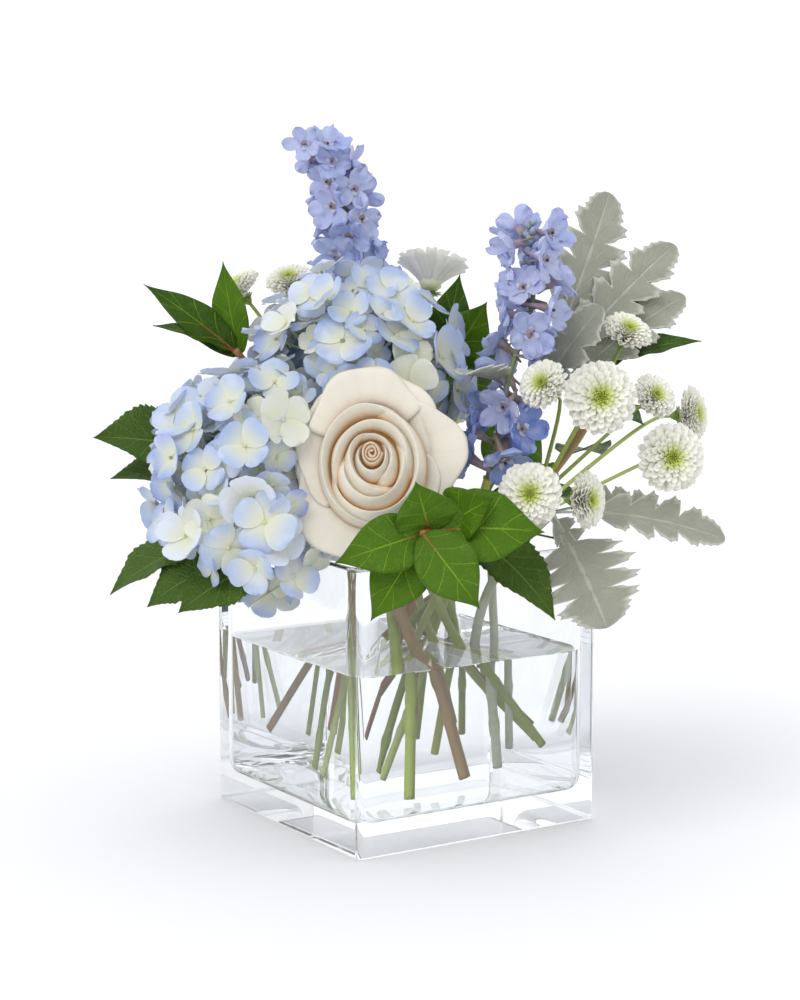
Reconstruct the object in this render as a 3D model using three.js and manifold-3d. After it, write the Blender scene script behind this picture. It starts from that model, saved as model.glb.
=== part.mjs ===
// A hand-tied bunch of cut flowers standing in a square glass vase of water.
// Millimetres, +Z up. The origin is the middle of the vase's underside, and the vase's sides lie along X and Y.
// The bunch is drawn in a turned group of its own, whose -Y side is the one that the bunch was arranged for.

import * as THREE from 'three';
import { mergeVertices } from 'three/addons/utils/BufferGeometryUtils.js';
import Module from 'manifold-3d';

const wasm = await Module();
wasm.setup();

// ---- Driving dimensions ----

const VASE_SIDE = 127;
const VASE_HEIGHT = 127;
const WALL = 4;
const BASE = 14;
const OUTER_CORNER = 3;
const INNER_CORNER = 9;
const WATER_LEVEL = 80;

const BUNCH_TURN = THREE.MathUtils.degToRad(-32.5);
const GAP = 0.3; // between pieces that touch
const STEM_HOLE = 0.6; // how much wider than its stem each hole in the water is

const WELD = 0.03; // corners of joined bodies that lie nearer than this become one
const BLADE = 0.8; // thickness of leaves and petals
const TWIG = 1.1; // radius of side shoots
const RACHIS = 1.6; // radius of a flower spike's middle stem

const LOWER_HEAD = { centre: [-64, -38, 162], core: 31.5, reach: 46, florets: 43, seed: 3 };
const UPPER_HEAD = { centre: [-23, -7, 198], core: 37, reach: 51, florets: 49, seed: 8 };
const FLORET = { lobes: 4, radius: 13.8, notch: 0.42, cup: 2.4, waist: 1.5 };

const ROSE_FOOT = [-12, -52, 170];
const ROSE_FACING = [-0.06, -0.96, 0.24];

// ---- Colours ----

const finish = (color, roughness) => new THREE.MeshStandardMaterial({ color, roughness, metalness: 0 });
const GLASS = finish(0xe4eaf4, 0.03);
GLASS.transparent = true;
GLASS.opacity = 0.3;
const WATER = finish(0xeaf1f4, 0.02);
WATER.transparent = true;
WATER.opacity = 0.4;
const HYDRANGEA = finish(0xb9cdea, 0.6);
const HYDRANGEA_GREEN = finish(0x4d7a3a, 0.55);
const ROSE = finish(0xf5e8d6, 0.6);
const STEM_GREEN = finish(0x7f9a4e, 0.5);
const DELPHINIUM = finish(0x7d8fd0, 0.55);
const MUM = finish(0xf6f6ee, 0.6);
const SILVER = finish(0xb4bcae, 0.85);
const SALAL = finish(0x4f8a2c, 0.4);

// ---- Solids ----

const point = ([x, y, z]) => new THREE.Vector3(x, y, z);

// A repeatable random number between 0 and 1.
function dice(seed) {
  let state = seed * 7919 + 17;
  return () => {
    state = (state * 16807) % 2147483647;
    return state / 2147483647;
  };
}

// A closed geometry as a solid that can be joined to others or cut.
function solid(geometry) {
  const bare = geometry.clone();
  bare.deleteAttribute('normal');
  bare.deleteAttribute('uv');
  const merged = mergeVertices(bare, 1e-4);
  return new wasm.Manifold(new wasm.Mesh({
    numProp: 3,
    vertProperties: new Float32Array(merged.attributes.position.array),
    triVerts: new Uint32Array(merged.index.array),
  }));
}

function geometryOf(body) {
  const mesh = body.getMesh();
  const geometry = new THREE.BufferGeometry();
  geometry.setAttribute('position', new THREE.BufferAttribute(new Float32Array(mesh.vertProperties), 3));
  geometry.setIndex(new THREE.BufferAttribute(new Uint32Array(mesh.triVerts), 1));
  geometry.computeVertexNormals();
  return geometry;
}

// The outer skin of a joined body's largest piece, which drops loose scraps and fills sealed hollows.
function skinOf(body) {
  const { vertProperties, triVerts } = body.getMesh();
  const corner = (k) => new THREE.Vector3().fromArray(vertProperties, 3 * k);
  const group = Array.from({ length: vertProperties.length / 3 }, (_, k) => k);
  const find = (k) => {
    let root = k;
    while (group[root] !== root) root = group[root];
    group[k] = root;
    return root;
  };
  const triangles = Array.from({ length: triVerts.length / 3 }, (_, k) =>
    [...triVerts.slice(3 * k, 3 * k + 3)]);
  for (const [a, b, c] of triangles) {
    group[find(a)] = find(b);
    group[find(b)] = find(c);
  }
  const skins = new Map();
  for (const triangle of triangles) {
    const [a, b, c] = triangle.map(corner);
    const skin = skins.get(find(triangle[0])) ?? { volume: 0, triangles: [] };
    skin.volume += a.dot(b.cross(c)) / 6;
    skin.triangles.push(triangle);
    skins.set(find(triangle[0]), skin);
  }
  const largest = [...skins.values()].reduce((best, skin) => (skin.volume > best.volume ? skin : best));
  const corners = largest.triangles.flat();
  return mergeVertices(geometryFrom(corners.map(corner), corners.map((_, k) => k)), 1e-5);
}

function geometryFrom(points, triangles) {
  const geometry = new THREE.BufferGeometry().setFromPoints(points);
  geometry.setIndex(triangles.flat());
  return geometry;
}

// A sheet of triangles made into a solid blade, with both faces triangulated alike and walls round its edges.
function thicken(points, triangles, thickness) {
  const normals = points.map(() => new THREE.Vector3());
  const edges = new Set();
  for (const [a, b, c] of triangles) {
    const normal = points[b].clone().sub(points[a]).cross(points[c].clone().sub(points[a]));
    [a, b, c].forEach((corner) => normals[corner].add(normal));
    [[a, b], [b, c], [c, a]].forEach(([from, to]) => edges.add(`${from} ${to}`));
  }
  const shifted = (side) => points.map((p, i) =>
    p.clone().addScaledVector(normals[i].clone().normalize(), side * thickness / 2));
  const count = points.length;
  const faces = triangles.flatMap(([a, b, c]) => [[a, b, c], [a + count, c + count, b + count]]);
  for (const edge of edges) {
    const [from, to] = edge.split(' ').map(Number);
    if (!edges.has(`${to} ${from}`)) {
      faces.push([from, from + count, to + count], [from, to + count, to]);
    }
  }
  return geometryFrom([...shifted(1), ...shifted(-1)], faces);
}

// A closed surface through rings of points, from the back to the front. A ring of one point is a tip.
function loft(rings) {
  const points = [];
  const faces = [];
  const placed = rings.map((ring) => ring.map((p) => ({ angle: p.angle, index: points.push(p.point) - 1 })));
  for (let k = 0; k + 1 < placed.length; k += 1) {
    const [back, front] = [placed[k], placed[k + 1]];
    let [i, j] = [0, 0];
    const steps = (ring) => (ring.length === 1 ? 0 : ring.length);
    const angleAt = (ring, n) => ring[n % ring.length].angle + 2 * Math.PI * Math.floor(n / ring.length);
    while (i < steps(back) || j < steps(front)) {
      const backNext = i < steps(back) ? angleAt(back, i + 1) : Infinity;
      const frontNext = j < steps(front) ? angleAt(front, j + 1) : Infinity;
      const here = back[i % back.length].index;
      const above = front[j % front.length].index;
      if (backNext <= frontNext) {
        i += 1;
        faces.push([here, back[i % back.length].index, above]);
      } else {
        j += 1;
        faces.push([here, front[j % front.length].index, above]);
      }
    }
  }
  return geometryFrom(points, faces);
}

// One ring of a loft about +Z: shape(k) gives the angle in turns, the radius and the height of its point k.
function ring(count, shape) {
  return Array.from({ length: count }, (_, k) => {
    const [turns, radius, height] = shape(k);
    const angle = turns * 2 * Math.PI;
    return { angle, point: new THREE.Vector3(radius * Math.cos(angle), radius * Math.sin(angle), height) };
  });
}

// The outline of a bloom with rounded lobes: three points a lobe, a notch and two shoulders.
function lobedRing(lobes, radius, notchRadius, shoulderHeight, notchHeight, offset = 0, width = 0.3) {
  return ring(lobes * 3, (k) => {
    const lobe = Math.floor(k / 3);
    const [swing, reach, height] = [
      [-0.5, notchRadius, notchHeight],
      [-width, radius, shoulderHeight],
      [width, radius, shoulderHeight],
    ][k % 3];
    return [(lobe + swing + 0.5 + offset) / lobes, reach, height];
  });
}

const tip = (height) => ring(1, () => [0, 0, height]);

// Stands something drawn about +Z at a place, with +Z turned to a direction and a spin about it.
function standing(geometry, place, facing, spin = 0) {
  const turn = new THREE.Quaternion().setFromUnitVectors(new THREE.Vector3(0, 0, 1), point(facing).normalize());
  const matrix = new THREE.Matrix4().compose(point(place), turn, new THREE.Vector3(1, 1, 1));
  return geometry.clone().rotateZ(spin).applyMatrix4(matrix);
}

// ---- The growing list of nodes ----

const nodes = new Map();

function grow(name, body) {
  if (!nodes.has(name)) nodes.set(name, []);
  nodes.get(name).push(body);
}

const boxesApart = (a, b) => [0, 1, 2].some((axis) =>
  a.min[axis] - b.max[axis] > GAP || b.min[axis] - a.max[axis] > GAP);

// Whether a body keeps its gap to every piece of the other nodes so far.
function isClear(name, body) {
  const box = body.boundingBox();
  for (const [other, bodies] of nodes) {
    if (other === name) continue;
    for (const neighbour of bodies) {
      if (boxesApart(box, neighbour.boundingBox())) continue;
      if (body.minGap(neighbour, GAP) < GAP) return false;
    }
  }
  return true;
}

// Grows the first of several drafts of a piece that is clear of the other nodes, or none if all of them cross.
function growClear(name, drafts) {
  for (const draft of drafts) {
    const body = solid(draft);
    if (isClear(name, body)) {
      grow(name, body);
      return;
    }
  }
}

// ---- Stems ----

// The first two points of each route are its cut foot and where it passes the waterline.
const ROUTES = {
  hydrangea_stem_lower: [3.4, [23, -30, 24], [6, -29, 78], [-10, -29, 112], [-26, -31, 132]],
  hydrangea_stem_upper: [3.2, [-3, -39, 17], [-4, -28, 78], [-9, -16, 115], [-16, -11, 150]],
  rose_stem: [2.4, [59, -5, 33], [25, -13, 80], [10, -23, 112], [-8, -36, 152]],
  delphinium_stem_tall: [2.4, [53, 15, 33], [14, 4, 78], [2, 14, 120], [-8, 30, 200], [-22, 29, 240],
    [-27, 27, 268], [-28, 25, 292], [-44, 23, 309]],
  delphinium_stem_loose: [2.4, [1, 17, 27], [12, 12, 78], [25, -1, 115], [40, -31, 168], [47, -26, 204],
    [58, -14, 238], [57, -6, 272]],
  mum_stems_upper: [2.4, [-24, -10, 24], [-5, 0, 78], [22, -6, 108], [60, -28, 150]],
  mum_stems_lower: [2.2, [-20, -16, 22], [3, -9, 78], [18, -16, 108], [50, -44, 140]],
  mum_stems_left: [2.0, [25, 10, 68], [22, 19, 90], [2, 27, 125], [-50, 40, 200]],
  mum_stems_back: [2.0, [-12, 42, 30], [-4, 36, 78], [8, 44, 115], [20, 58, 165]],
  salal_left: [2.2, [50, 22, 38], [10, 19, 78], [0, 30, 110], [-58, 14, 188], [-76, -4, 214]],
  salal_right: [2.6, [-45, 30, 33], [-9, 18, 78], [25, 15, 108], [80, 8, 172], [98, 14, 212]],
  salal_middle: [2.2, [10, 52, 30], [13, 34, 78], [16, 26, 120], [18, 14, 205]],
  salal_front: [2.0, [-8, 6, 40], [-1, -14, 90], [13, -41, 125], [15, -74, 142], [8, -94, 144]],
  salal_back: [2.2, [14, -6, 45], [4, 3, 80], [4, 30, 115], [2, 62, 150]],
  salal_corner: [2.2, [30, 30, 40], [22, 32, 78], [26, 40, 115], [46, 58, 152]],
  dusty_miller_upper: [2.4, [40, 10, 30], [41, -4, 78], [41, 3, 120], [60, 6, 192]],
  dusty_miller_lower: [2.8, [35, 3, 22], [32, -2, 78], [41, -14, 112], [66, -38, 145]],
};
const STEM_MESH = { sides: 5, step: 30 };
const TWIG_MESH = { sides: 3, step: 24 };
const RACHIS_MESH = { sides: 4, step: 14 };

const curveOf = (points) => new THREE.CatmullRomCurve3(points.map(point));

function tube(curve, radius, { sides, step } = STEM_MESH) {
  const section = new THREE.Shape(Array.from({ length: sides }, (_, k) => {
    const angle = (k / sides) * 2 * Math.PI;
    return new THREE.Vector2(radius * Math.cos(angle), radius * Math.sin(angle));
  }));
  const steps = Math.max(1, Math.round(curve.getLength() / step));
  return new THREE.ExtrudeGeometry(section, { steps, extrudePath: curve, bevelEnabled: false });
}

const twig = (curve) => tube(curve, TWIG, TWIG_MESH);

// A stretch of a curve, given as parts of its length.
function stretch(curve, from, to, pieces = 8) {
  const places = Array.from({ length: pieces + 1 }, (_, k) => curve.getPointAt(from + (to - from) * k / pieces));
  return new THREE.CatmullRomCurve3(places);
}

// ---- Leaves ----

// Half outlines, base to tip: how far along the midrib, and how far out as a part of the half width.
const SALAL_EDGE = [[0, 0.09], [0.2, 0.66], [0.44, 1], [0.74, 0.7]];

// An oval edge with forward-pointing teeth.
function toothedEdge(teeth) {
  const edge = [[0, 0.09]];
  for (let k = 0; k < teeth; k += 1) {
    const along = 0.16 + 0.8 * k / teeth;
    const out = Math.sin(Math.PI * Math.pow(along, 0.8));
    edge.push([along, out * 0.9], [along + 0.55 / teeth, out]);
  }
  return edge;
}

// Blunt lobes, cut most of the way to the midrib.
function cutEdge(lobes) {
  const edge = [[0, 0.1]];
  for (let k = 0; k < lobes; k += 1) {
    const along = 0.16 + 0.72 * k / lobes;
    const out = Math.sin(Math.PI * (0.28 + 0.5 * (k + 0.5) / lobes));
    edge.push([along, out * 0.2], [along + 0.05, out * 0.84], [along + 0.13, out]);
  }
  return edge;
}

const HYDRANGEA_EDGE = toothedEdge(4);
const DUSTY_EDGE = cutEdge(4);
const SMALL_DUSTY_EDGE = cutEdge(3);
const RIB = [0.3, 0.62];

// Where a leaf's midrib has its points: at its ends, wherever its edge turns outward, and in between for the arch.
function ribOf(edge) {
  const slope = ([along, out], [nextAlong, nextOut]) => (nextOut - out) / (nextAlong - along);
  const turnsOut = (p, k) => k > 0 && k + 1 < edge.length && slope(p, edge[k + 1]) > slope(edge[k - 1], p);
  const turns = edge.filter(turnsOut).map(([along]) => along);
  const between = RIB.filter((along) => turns.every((turn) => Math.abs(turn - along) > 0.15));
  return [0, ...turns, ...between, 1].sort((a, b) => a - b);
}

// Triangles between a midrib and an edge, both in order along the leaf.
function zipTriangles(rib, edge) {
  const triangles = [];
  let [i, j] = [0, 0];
  while (i + 1 < rib.length || j + 1 < edge.length) {
    const edgeFirst = j + 1 < edge.length && (i + 1 === rib.length || edge[j + 1].along <= rib[i + 1].along);
    if (edgeFirst) {
      triangles.push([rib[i].index, edge[j].index, edge[j + 1].index]);
      j += 1;
    } else {
      triangles.push([rib[i].index, edge[j].index, rib[i + 1].index]);
      i += 1;
    }
  }
  return triangles;
}

// A leaf from its foot to its tip, its upper face turned to `facing`, arched by `bend` radians and folded at the rib.
function leaf(edge, foot, end, facing, width, bend = 0.5, fold = 0.22) {
  const span = end.clone().sub(foot);
  const length = span.length() * bend / (2 * Math.sin(bend / 2));
  const points = [];
  const strip = (outline) => outline.map(([along, out]) => {
    const angle = bend * along;
    const x = out * width / 2;
    const lift = Math.abs(x) * fold;
    const y = length * Math.sin(angle) / bend + lift * Math.sin(angle);
    const z = -length * (1 - Math.cos(angle)) / bend + lift * Math.cos(angle);
    return { along, index: points.push(new THREE.Vector3(x, y, z)) - 1 };
  });
  const rib = strip(ribOf(edge).map((along) => [along, 0]));
  const right = strip(edge);
  const left = strip(edge.map(([along, out]) => [along, -out]));
  const triangles = [
    ...zipTriangles(rib, right),
    ...zipTriangles(rib, left).map(([a, b, c]) => [a, c, b]),
  ];
  const ahead = span.normalize();
  const across = ahead.clone().cross(point(facing)).normalize();
  const up = across.clone().cross(ahead);
  const matrix = new THREE.Matrix4().makeBasis(across, ahead, up).setPosition(foot);
  return thicken(points, triangles, BLADE).rotateX(bend / 2).applyMatrix4(matrix);
}

// How far a leaf's tip may be moved across and up, in steps, to lie clear of what is there already.
const NUDGES = [[0, 0], [0, 5], [0, -5], [5, 0], [-5, 0], [0, 10], [0, -10], [9, 0], [-9, 0], [8, 8], [-8, 8],
  [8, -8], [-8, -8], [0, 16], [0, -16], [15, 0], [-15, 0]];

// The point of a stem that a side shoot to a place starts from: near, and lower by about `drop`.
function nodeOn(stems, place, drop) {
  const cost = (p) => p.distanceTo(place) + 2 * Math.max(0, p.z + drop - place.z);
  return stems.flatMap((stem) => stem.getSpacedPoints(60)).reduce((best, p) => (cost(p) < cost(best) ? p : best));
}

// The outline with a bare stalk before it, which takes up a part of the whole length.
function stalked(edge, part) {
  const [[, narrow]] = edge;
  return [[0, narrow], ...edge.map(([along, out]) => [part + (1 - part) * along, out])];
}

// Leaves on one stem and its side shoots. Each is [edge, where its blade starts, tip, facing, width, bend], and its
// stalk runs back to the nearest lower point.
function growLeaves(name, leaves, shoots = []) {
  const stems = [curves[name], ...shoots.map(curveOf)];
  shoots.forEach((shoot) => grow(name, solid(twig(curveOf(shoot)))));
  for (const [edge, bladeAt, tipAt, facing, width, bend] of leaves) {
    const root = nodeOn(stems, point(bladeAt), 2);
    const stalk = root.distanceTo(point(bladeAt));
    const outline = stalk < 4 ? edge : stalked(edge, stalk / (stalk + point(bladeAt).distanceTo(point(tipAt))));
    const ahead = point(tipAt).sub(root).normalize();
    const up = point(facing).normalize();
    const across = ahead.clone().cross(up).normalize();
    growClear(name, NUDGES.map(([side, lift]) => {
      const end = point(tipAt).addScaledVector(across, side).addScaledVector(up, lift);
      return leaf(outline, root, end, facing, width, bend);
    }));
  }
}

// ---- Blooms ----

// A flat bloom of rounded lobes on a stalk that narrows to a point behind it.
function floret({ lobes, radius, notch, cup, waist }, stalk, squash = 1) {
  const half = BLADE / 2;
  const edge = (side) => lobedRing(lobes, radius, radius * notch, cup + side * half, cup * 0.35 + side * half);
  const rings = [
    tip(-stalk),
    ring(lobes, (k) => [k / lobes, waist, -half]),
    edge(-1),
    edge(1),
    tip(half),
  ];
  return loft(rings).scale(1, squash, 1);
}

// Evenly spread directions over a sphere, from the top down.
function spread(count) {
  const golden = Math.PI * (3 - Math.sqrt(5));
  return Array.from({ length: count }, (_, k) => {
    const z = 1 - 2 * (k + 0.5) / count;
    const radius = Math.sqrt(1 - z * z);
    return new THREE.Vector3(radius * Math.cos(golden * k), radius * Math.sin(golden * k), z);
  });
}

// A round head of florets at three depths, whose stalks stand in its core.
const LAYERS = [0, 3.2, 1.4]; // how far below the outermost florets each third of them sits
const FLORET_ROOT = 5; // how deep the stalks run into the core
const FLORET_DRAFTS = [[1, 0], [0.82, 0], [0.72, 4], [0.6, 7]]; // size, and how far it is sunk
const STEM_SIDE = 0.8; // florets nearer than this to the stem's direction are left off, as a cosine
function growHead(name, { centre, core, reach, florets, seed }, stemFrom) {
  const random = dice(seed);
  const middle = point(centre);
  const towardsStem = point(stemFrom).sub(middle).normalize();
  spread(florets).forEach((direction, k) => {
    const depth = reach - LAYERS[k % LAYERS.length];
    const size = 0.9 + 0.2 * random();
    const spin = random() * Math.PI;
    const lean = new THREE.Vector3(random() - 0.5, random() - 0.5, random() - 0.5).multiplyScalar(0.3);
    const facing = direction.clone().add(lean).normalize();
    if (direction.dot(towardsStem) > STEM_SIDE) return;
    const drafts = FLORET_DRAFTS.map(([scale, sink]) => {
      const shape = { ...FLORET, radius: FLORET.radius * size * scale };
      const place = middle.clone().addScaledVector(direction, depth - sink);
      const stalk = depth - sink - core + FLORET_ROOT;
      return standing(floret(shape, stalk), place.toArray(), facing.toArray(), spin);
    });
    growClear(name, drafts);
  });
}

// A double daisy facing +Z: two rows of strap petals round a raised middle, flat behind where it sits on its cup.
const MUM_BACK = 0.34; // how far its back lies behind it, as a part of its radius
const MUM_SEAT = 2.4; // radius of the flat that rests on the cup
function mumBloom(radius, outer = 10, inner = 6) {
  const half = BLADE / 2;
  const row = (count, reach, notch, lift, rise, offset) => [-1, 1].map((side) =>
    lobedRing(count, reach, notch, lift + side * half, rise + side * half, offset, 0.32));
  const back = -radius * MUM_BACK;
  return loft([
    tip(back),
    ring(6, (k) => [k / 6, MUM_SEAT, back]),
    ...row(outer, radius, radius * 0.5, -radius * 0.02, radius * 0.02, 0),
    ring(6, (k) => [k / 6, radius * 0.3, radius * 0.1]),
    ...row(inner, radius * 0.76, radius * 0.4, radius * 0.2, radius * 0.16, 0.5),
    ring(7, (k) => [k / 7, radius * 0.3, radius * 0.3]),
    tip(radius * 0.36),
  ]);
}

// One bloom on a branch of its spray: the bloom's own node, and a cup and a shoot in the stems' node.
const CUP_DEPTH = 4;
const CUP_RADIUS = 2.9;
const BRANCH_BEND = 7; // where a branch bends, behind its cup
const BRANCH_RISE = 8; // how far below its cup a branch leaves the stem
const MUM_SHIFTS = [0, 2, -2, 4, -4, 7, 10];
const DETOURS = [[0, 0, 0], [0, 0, -5], [5, 0, 0], [-5, 0, 0], [0, 5, 0], [0, -5, 0], [6, 6, 0], [-6, 6, 0],
  [6, -6, -4], [-6, -6, -4], [10, 0, -6], [-10, 0, -6], [0, 10, -6], [0, -10, -6], [14, 0, -4], [-14, 0, -4]];
function growMum(name, stemName, stem, place, facing, radius) {
  const ahead = point(facing).normalize();
  const drafts = MUM_SHIFTS.map((shift) => {
    const at = point(place).addScaledVector(ahead, shift);
    return { at, shape: standing(mumBloom(radius), at.toArray(), facing, radius) };
  });
  const chosen = drafts.find(({ shape }) => isClear(name, solid(shape)));
  if (!chosen) throw new Error(`${name} has no clear place`);
  grow(name, solid(chosen.shape));
  const seat = chosen.at.clone().addScaledVector(ahead, -radius * MUM_BACK - GAP);
  const low = seat.clone().addScaledVector(ahead, -CUP_DEPTH);
  const cup = new THREE.CylinderGeometry(CUP_RADIUS, TWIG, CUP_DEPTH, 5)
    .rotateX(Math.PI / 2).translate(0, 0, -CUP_DEPTH / 2);
  grow(stemName, solid(standing(cup, seat.toArray(), facing)));
  const root = nodeOn([stem], low, BRANCH_RISE);
  const bendAt = low.clone().addScaledVector(ahead, -BRANCH_BEND);
  const above = low.clone().addScaledVector(ahead, 1);
  growClear(stemName, DETOURS.map((detour) =>
    twig(new THREE.CatmullRomCurve3([root, bendAt.clone().add(point(detour)), above]))));
}

// A petal standing round +Z: a strip of a bowl whose profile runs from the foot over a belly to the lip.
function rosePetal({ turn, spreadAngle, belly, lip, point: pointed = 0.2, tuck = 1.6, columns = 2, rows = 3 }) {
  const foot = [6, 3];
  const points = [];
  const triangles = [];
  for (let r = 0; r <= rows; r += 1) {
    for (let c = 0; c <= columns; c += 1) {
      const across = 2 * c / columns - 1;
      const rise = (r / rows) * (1 - pointed * across * across);
      const keep = (1 - rise) ** 2;
      const pull = 2 * rise * (1 - rise);
      const end = rise ** 2;
      const radius = keep * foot[0] + pull * belly[0] + end * lip[0] + across * tuck * rise;
      const height = keep * foot[1] + pull * belly[1] + end * lip[1];
      const angle = turn + across * spreadAngle * (0.5 + 0.5 * Math.sin(Math.PI * Math.min(rise, 0.7) / 1.4));
      points.push(new THREE.Vector3(radius * Math.cos(angle), radius * Math.sin(angle), height));
    }
  }
  const at = (r, c) => r * (columns + 1) + c;
  for (let r = 0; r < rows; r += 1) {
    for (let c = 0; c < columns; c += 1) {
      triangles.push([at(r, c), at(r, c + 1), at(r + 1, c + 1)], [at(r, c), at(r + 1, c + 1), at(r + 1, c)]);
    }
  }
  return thicken(points, triangles, BLADE);
}

// The open outer petals: the way each points, in degrees, its reach, and how sharp its tip is.
const ROSE_OUTER = [
  [2, 41, 0.4],
  [62, 35, 0.25],
  [118, 34, 0.25],
  [180, 31, 0.25],
  [236, 41, 0.35],
  [300, 36, 0.25],
];
const ROSE_ROWS = [
  { petals: 3, belly: [15, 12], lip: [9, 31], spreadAngle: 1.1, first: 0.4 },
  { petals: 4, belly: [22, 10], lip: [18, 29], spreadAngle: 0.85, first: 1.0 },
];

const ROSE_BUD = [[0, 0], [4.5, 0], [9.5, 4], [9.5, 9], [6.5, 20], [2, 30], [0, 29]];

function growRose(name) {
  const stand = (geometry) => solid(standing(geometry, ROSE_FOOT, ROSE_FACING));
  const bud = new THREE.LatheGeometry(ROSE_BUD.map(([x, y]) => new THREE.Vector2(x, y)), 8);
  grow(name, stand(bud.rotateX(Math.PI / 2)));
  for (const { petals, belly, lip, spreadAngle, first } of ROSE_ROWS) {
    for (let k = 0; k < petals; k += 1) {
      const turn = first + 2 * Math.PI * k / petals;
      grow(name, stand(rosePetal({ turn, spreadAngle, belly, lip, columns: 2, rows: 2 })));
    }
  }
  for (const [degrees, reach, sharp] of ROSE_OUTER) {
    const turn = THREE.MathUtils.degToRad(degrees);
    const belly = [reach * 0.72, 15];
    const lip = [reach, 21 - reach * 0.12];
    grow(name, stand(rosePetal({ turn, spreadAngle: 0.62, belly, lip, point: sharp })));
  }
}

// A spike's florets, set round the stem's upper stretch in a spiral, larger and further out towards the foot.
const SPIKE_DRAFTS = [[1, 1], [0.85, 1], [0.85, 0.85], [0.7, 0.75]]; // reach and size, as parts of the full ones
function growSpike(name, curve, { from, count, low, high, seed }) {
  const random = dice(seed);
  for (let k = 0; k < count; k += 1) {
    const part = k / (count - 1);
    const at = curve.getPointAt(from + (1 - from) * (0.02 + 0.96 * part));
    const along = curve.getTangentAt(Math.min(0.999, from + (1 - from) * part));
    const turn = k * 2.4 + random() * 0.5;
    const side = new THREE.Vector3(Math.cos(turn), Math.sin(turn), 0.1);
    side.addScaledVector(along, -side.dot(along) * 0.7).normalize();
    const reach = low.reach + (high.reach - low.reach) * part;
    const radius = low.radius + (high.radius - low.radius) * part;
    const drafts = SPIKE_DRAFTS.map(([out, scale]) => {
      const shape = { lobes: 5, radius: radius * scale, notch: 0.55, cup: radius * 0.45 * scale, waist: 1.4 };
      const place = at.clone().addScaledVector(side, reach * out);
      return standing(floret(shape, reach * out), place.toArray(), side.toArray(), random() * 6);
    });
    growClear(name, drafts);
  }
}

// ---- The vase and the water ----

function roundedSquare(side, corner) {
  const half = side / 2;
  const shape = new THREE.Shape();
  shape.moveTo(half, -half + corner);
  shape.lineTo(half, half - corner);
  shape.absarc(half - corner, half - corner, corner, 0, Math.PI / 2);
  shape.absarc(-half + corner, half - corner, corner, Math.PI / 2, Math.PI);
  shape.absarc(-half + corner, -half + corner, corner, Math.PI, 1.5 * Math.PI);
  shape.absarc(half - corner, -half + corner, corner, 1.5 * Math.PI, 2 * Math.PI);
  return shape;
}

function roundedBlock(side, corner, low, high) {
  const extruded = new THREE.ExtrudeGeometry(roundedSquare(side, corner), {
    depth: high - low,
    bevelEnabled: false,
    curveSegments: 2,
  });
  return extruded.translate(0, 0, low);
}

const INSIDE = VASE_SIDE - 2 * WALL;

function vaseGeometry() {
  const outside = solid(roundedBlock(VASE_SIDE, OUTER_CORNER, 0, VASE_HEIGHT));
  const hollow = solid(roundedBlock(INSIDE, INNER_CORNER, BASE, VASE_HEIGHT + 10));
  return geometryOf(outside.subtract(hollow));
}

// The hole that a stem stands in: the stem's own tube, wider and a little deeper.
function holeFor(curve, radius) {
  const hole = tube(curve, radius + STEM_HOLE);
  const foot = curve.getPointAt(0);
  const deeper = curve.getTangentAt(0).multiplyScalar(-STEM_HOLE);
  const corner = new THREE.Vector3();
  const corners = hole.attributes.position;
  for (let k = 0; k < corners.count; k += 1) {
    corner.fromBufferAttribute(corners, k);
    if (corner.distanceTo(foot) < radius + 2 * STEM_HOLE) {
      corners.setXYZ(k, ...corner.add(deeper).toArray());
    }
  }
  return hole.rotateZ(BUNCH_TURN);
}

function waterGeometry() {
  const block = solid(roundedBlock(INSIDE - 2 * GAP, INNER_CORNER - GAP, BASE + GAP, WATER_LEVEL));
  const holes = Object.entries(ROUTES).map(([name, [radius]]) => solid(holeFor(lowerStem(name), radius)));
  return geometryOf(block.subtract(wasm.Manifold.union(holes)));
}

// ---- The bunch ----

const curves = Object.fromEntries(Object.entries(ROUTES).map(([name, [, ...points]]) => [name, curveOf(points)]));

// The vase is in the list only while the bunch grows, so that nothing runs into its walls.
grow('vase', solid(vaseGeometry().rotateZ(-BUNCH_TURN)));

// Each spike starts a gap above the end of its stem, and its florets shrink from its low end to its high end.
const SPIKES = {
  tall: {
    stemEnd: 0.69,
    from: 0.692,
    count: 12,
    low: { reach: 15, radius: 12 },
    high: { reach: 7, radius: 9 },
    seed: 5,
  },
  loose: {
    stemEnd: 0.55,
    from: 0.5525,
    count: 10,
    low: { reach: 12, radius: 12.5 },
    high: { reach: 9, radius: 11 },
    seed: 9,
  },
};

// A stem's curve, without the upper stretch that belongs to a spike.
function lowerStem(name) {
  const spike = SPIKES[name.replace('delphinium_stem_', '')];
  return spike ? stretch(curves[name], 0, spike.stemEnd) : curves[name];
}

for (const [name, [radius]] of Object.entries(ROUTES)) {
  grow(name, solid(tube(lowerStem(name), radius)));
}

for (const [key, { from }] of Object.entries(SPIKES)) {
  const upper = stretch(curves[`delphinium_stem_${key}`], from, 1);
  grow(`delphinium_spike_${key}`, solid(tube(upper, RACHIS, RACHIS_MESH)));
}

// The bend from a stem's top to what it carries.
function growBend(name, radius, end) {
  const [before, top] = [0.97, 1].map((part) => curves[name].getPointAt(part));
  grow(name, solid(tube(new THREE.CatmullRomCurve3([before, top, end]), radius)));
}

// The neck under a hydrangea head, up to its seat on the core.
function growNeck(name, radius, { centre, core }) {
  const away = curves[name].getPointAt(1).sub(point(centre)).normalize();
  growBend(name, radius, point(centre).addScaledVector(away, core + GAP));
}
growNeck('hydrangea_stem_lower', 3, LOWER_HEAD);
growNeck('hydrangea_stem_upper', 2.8, UPPER_HEAD);

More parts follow.
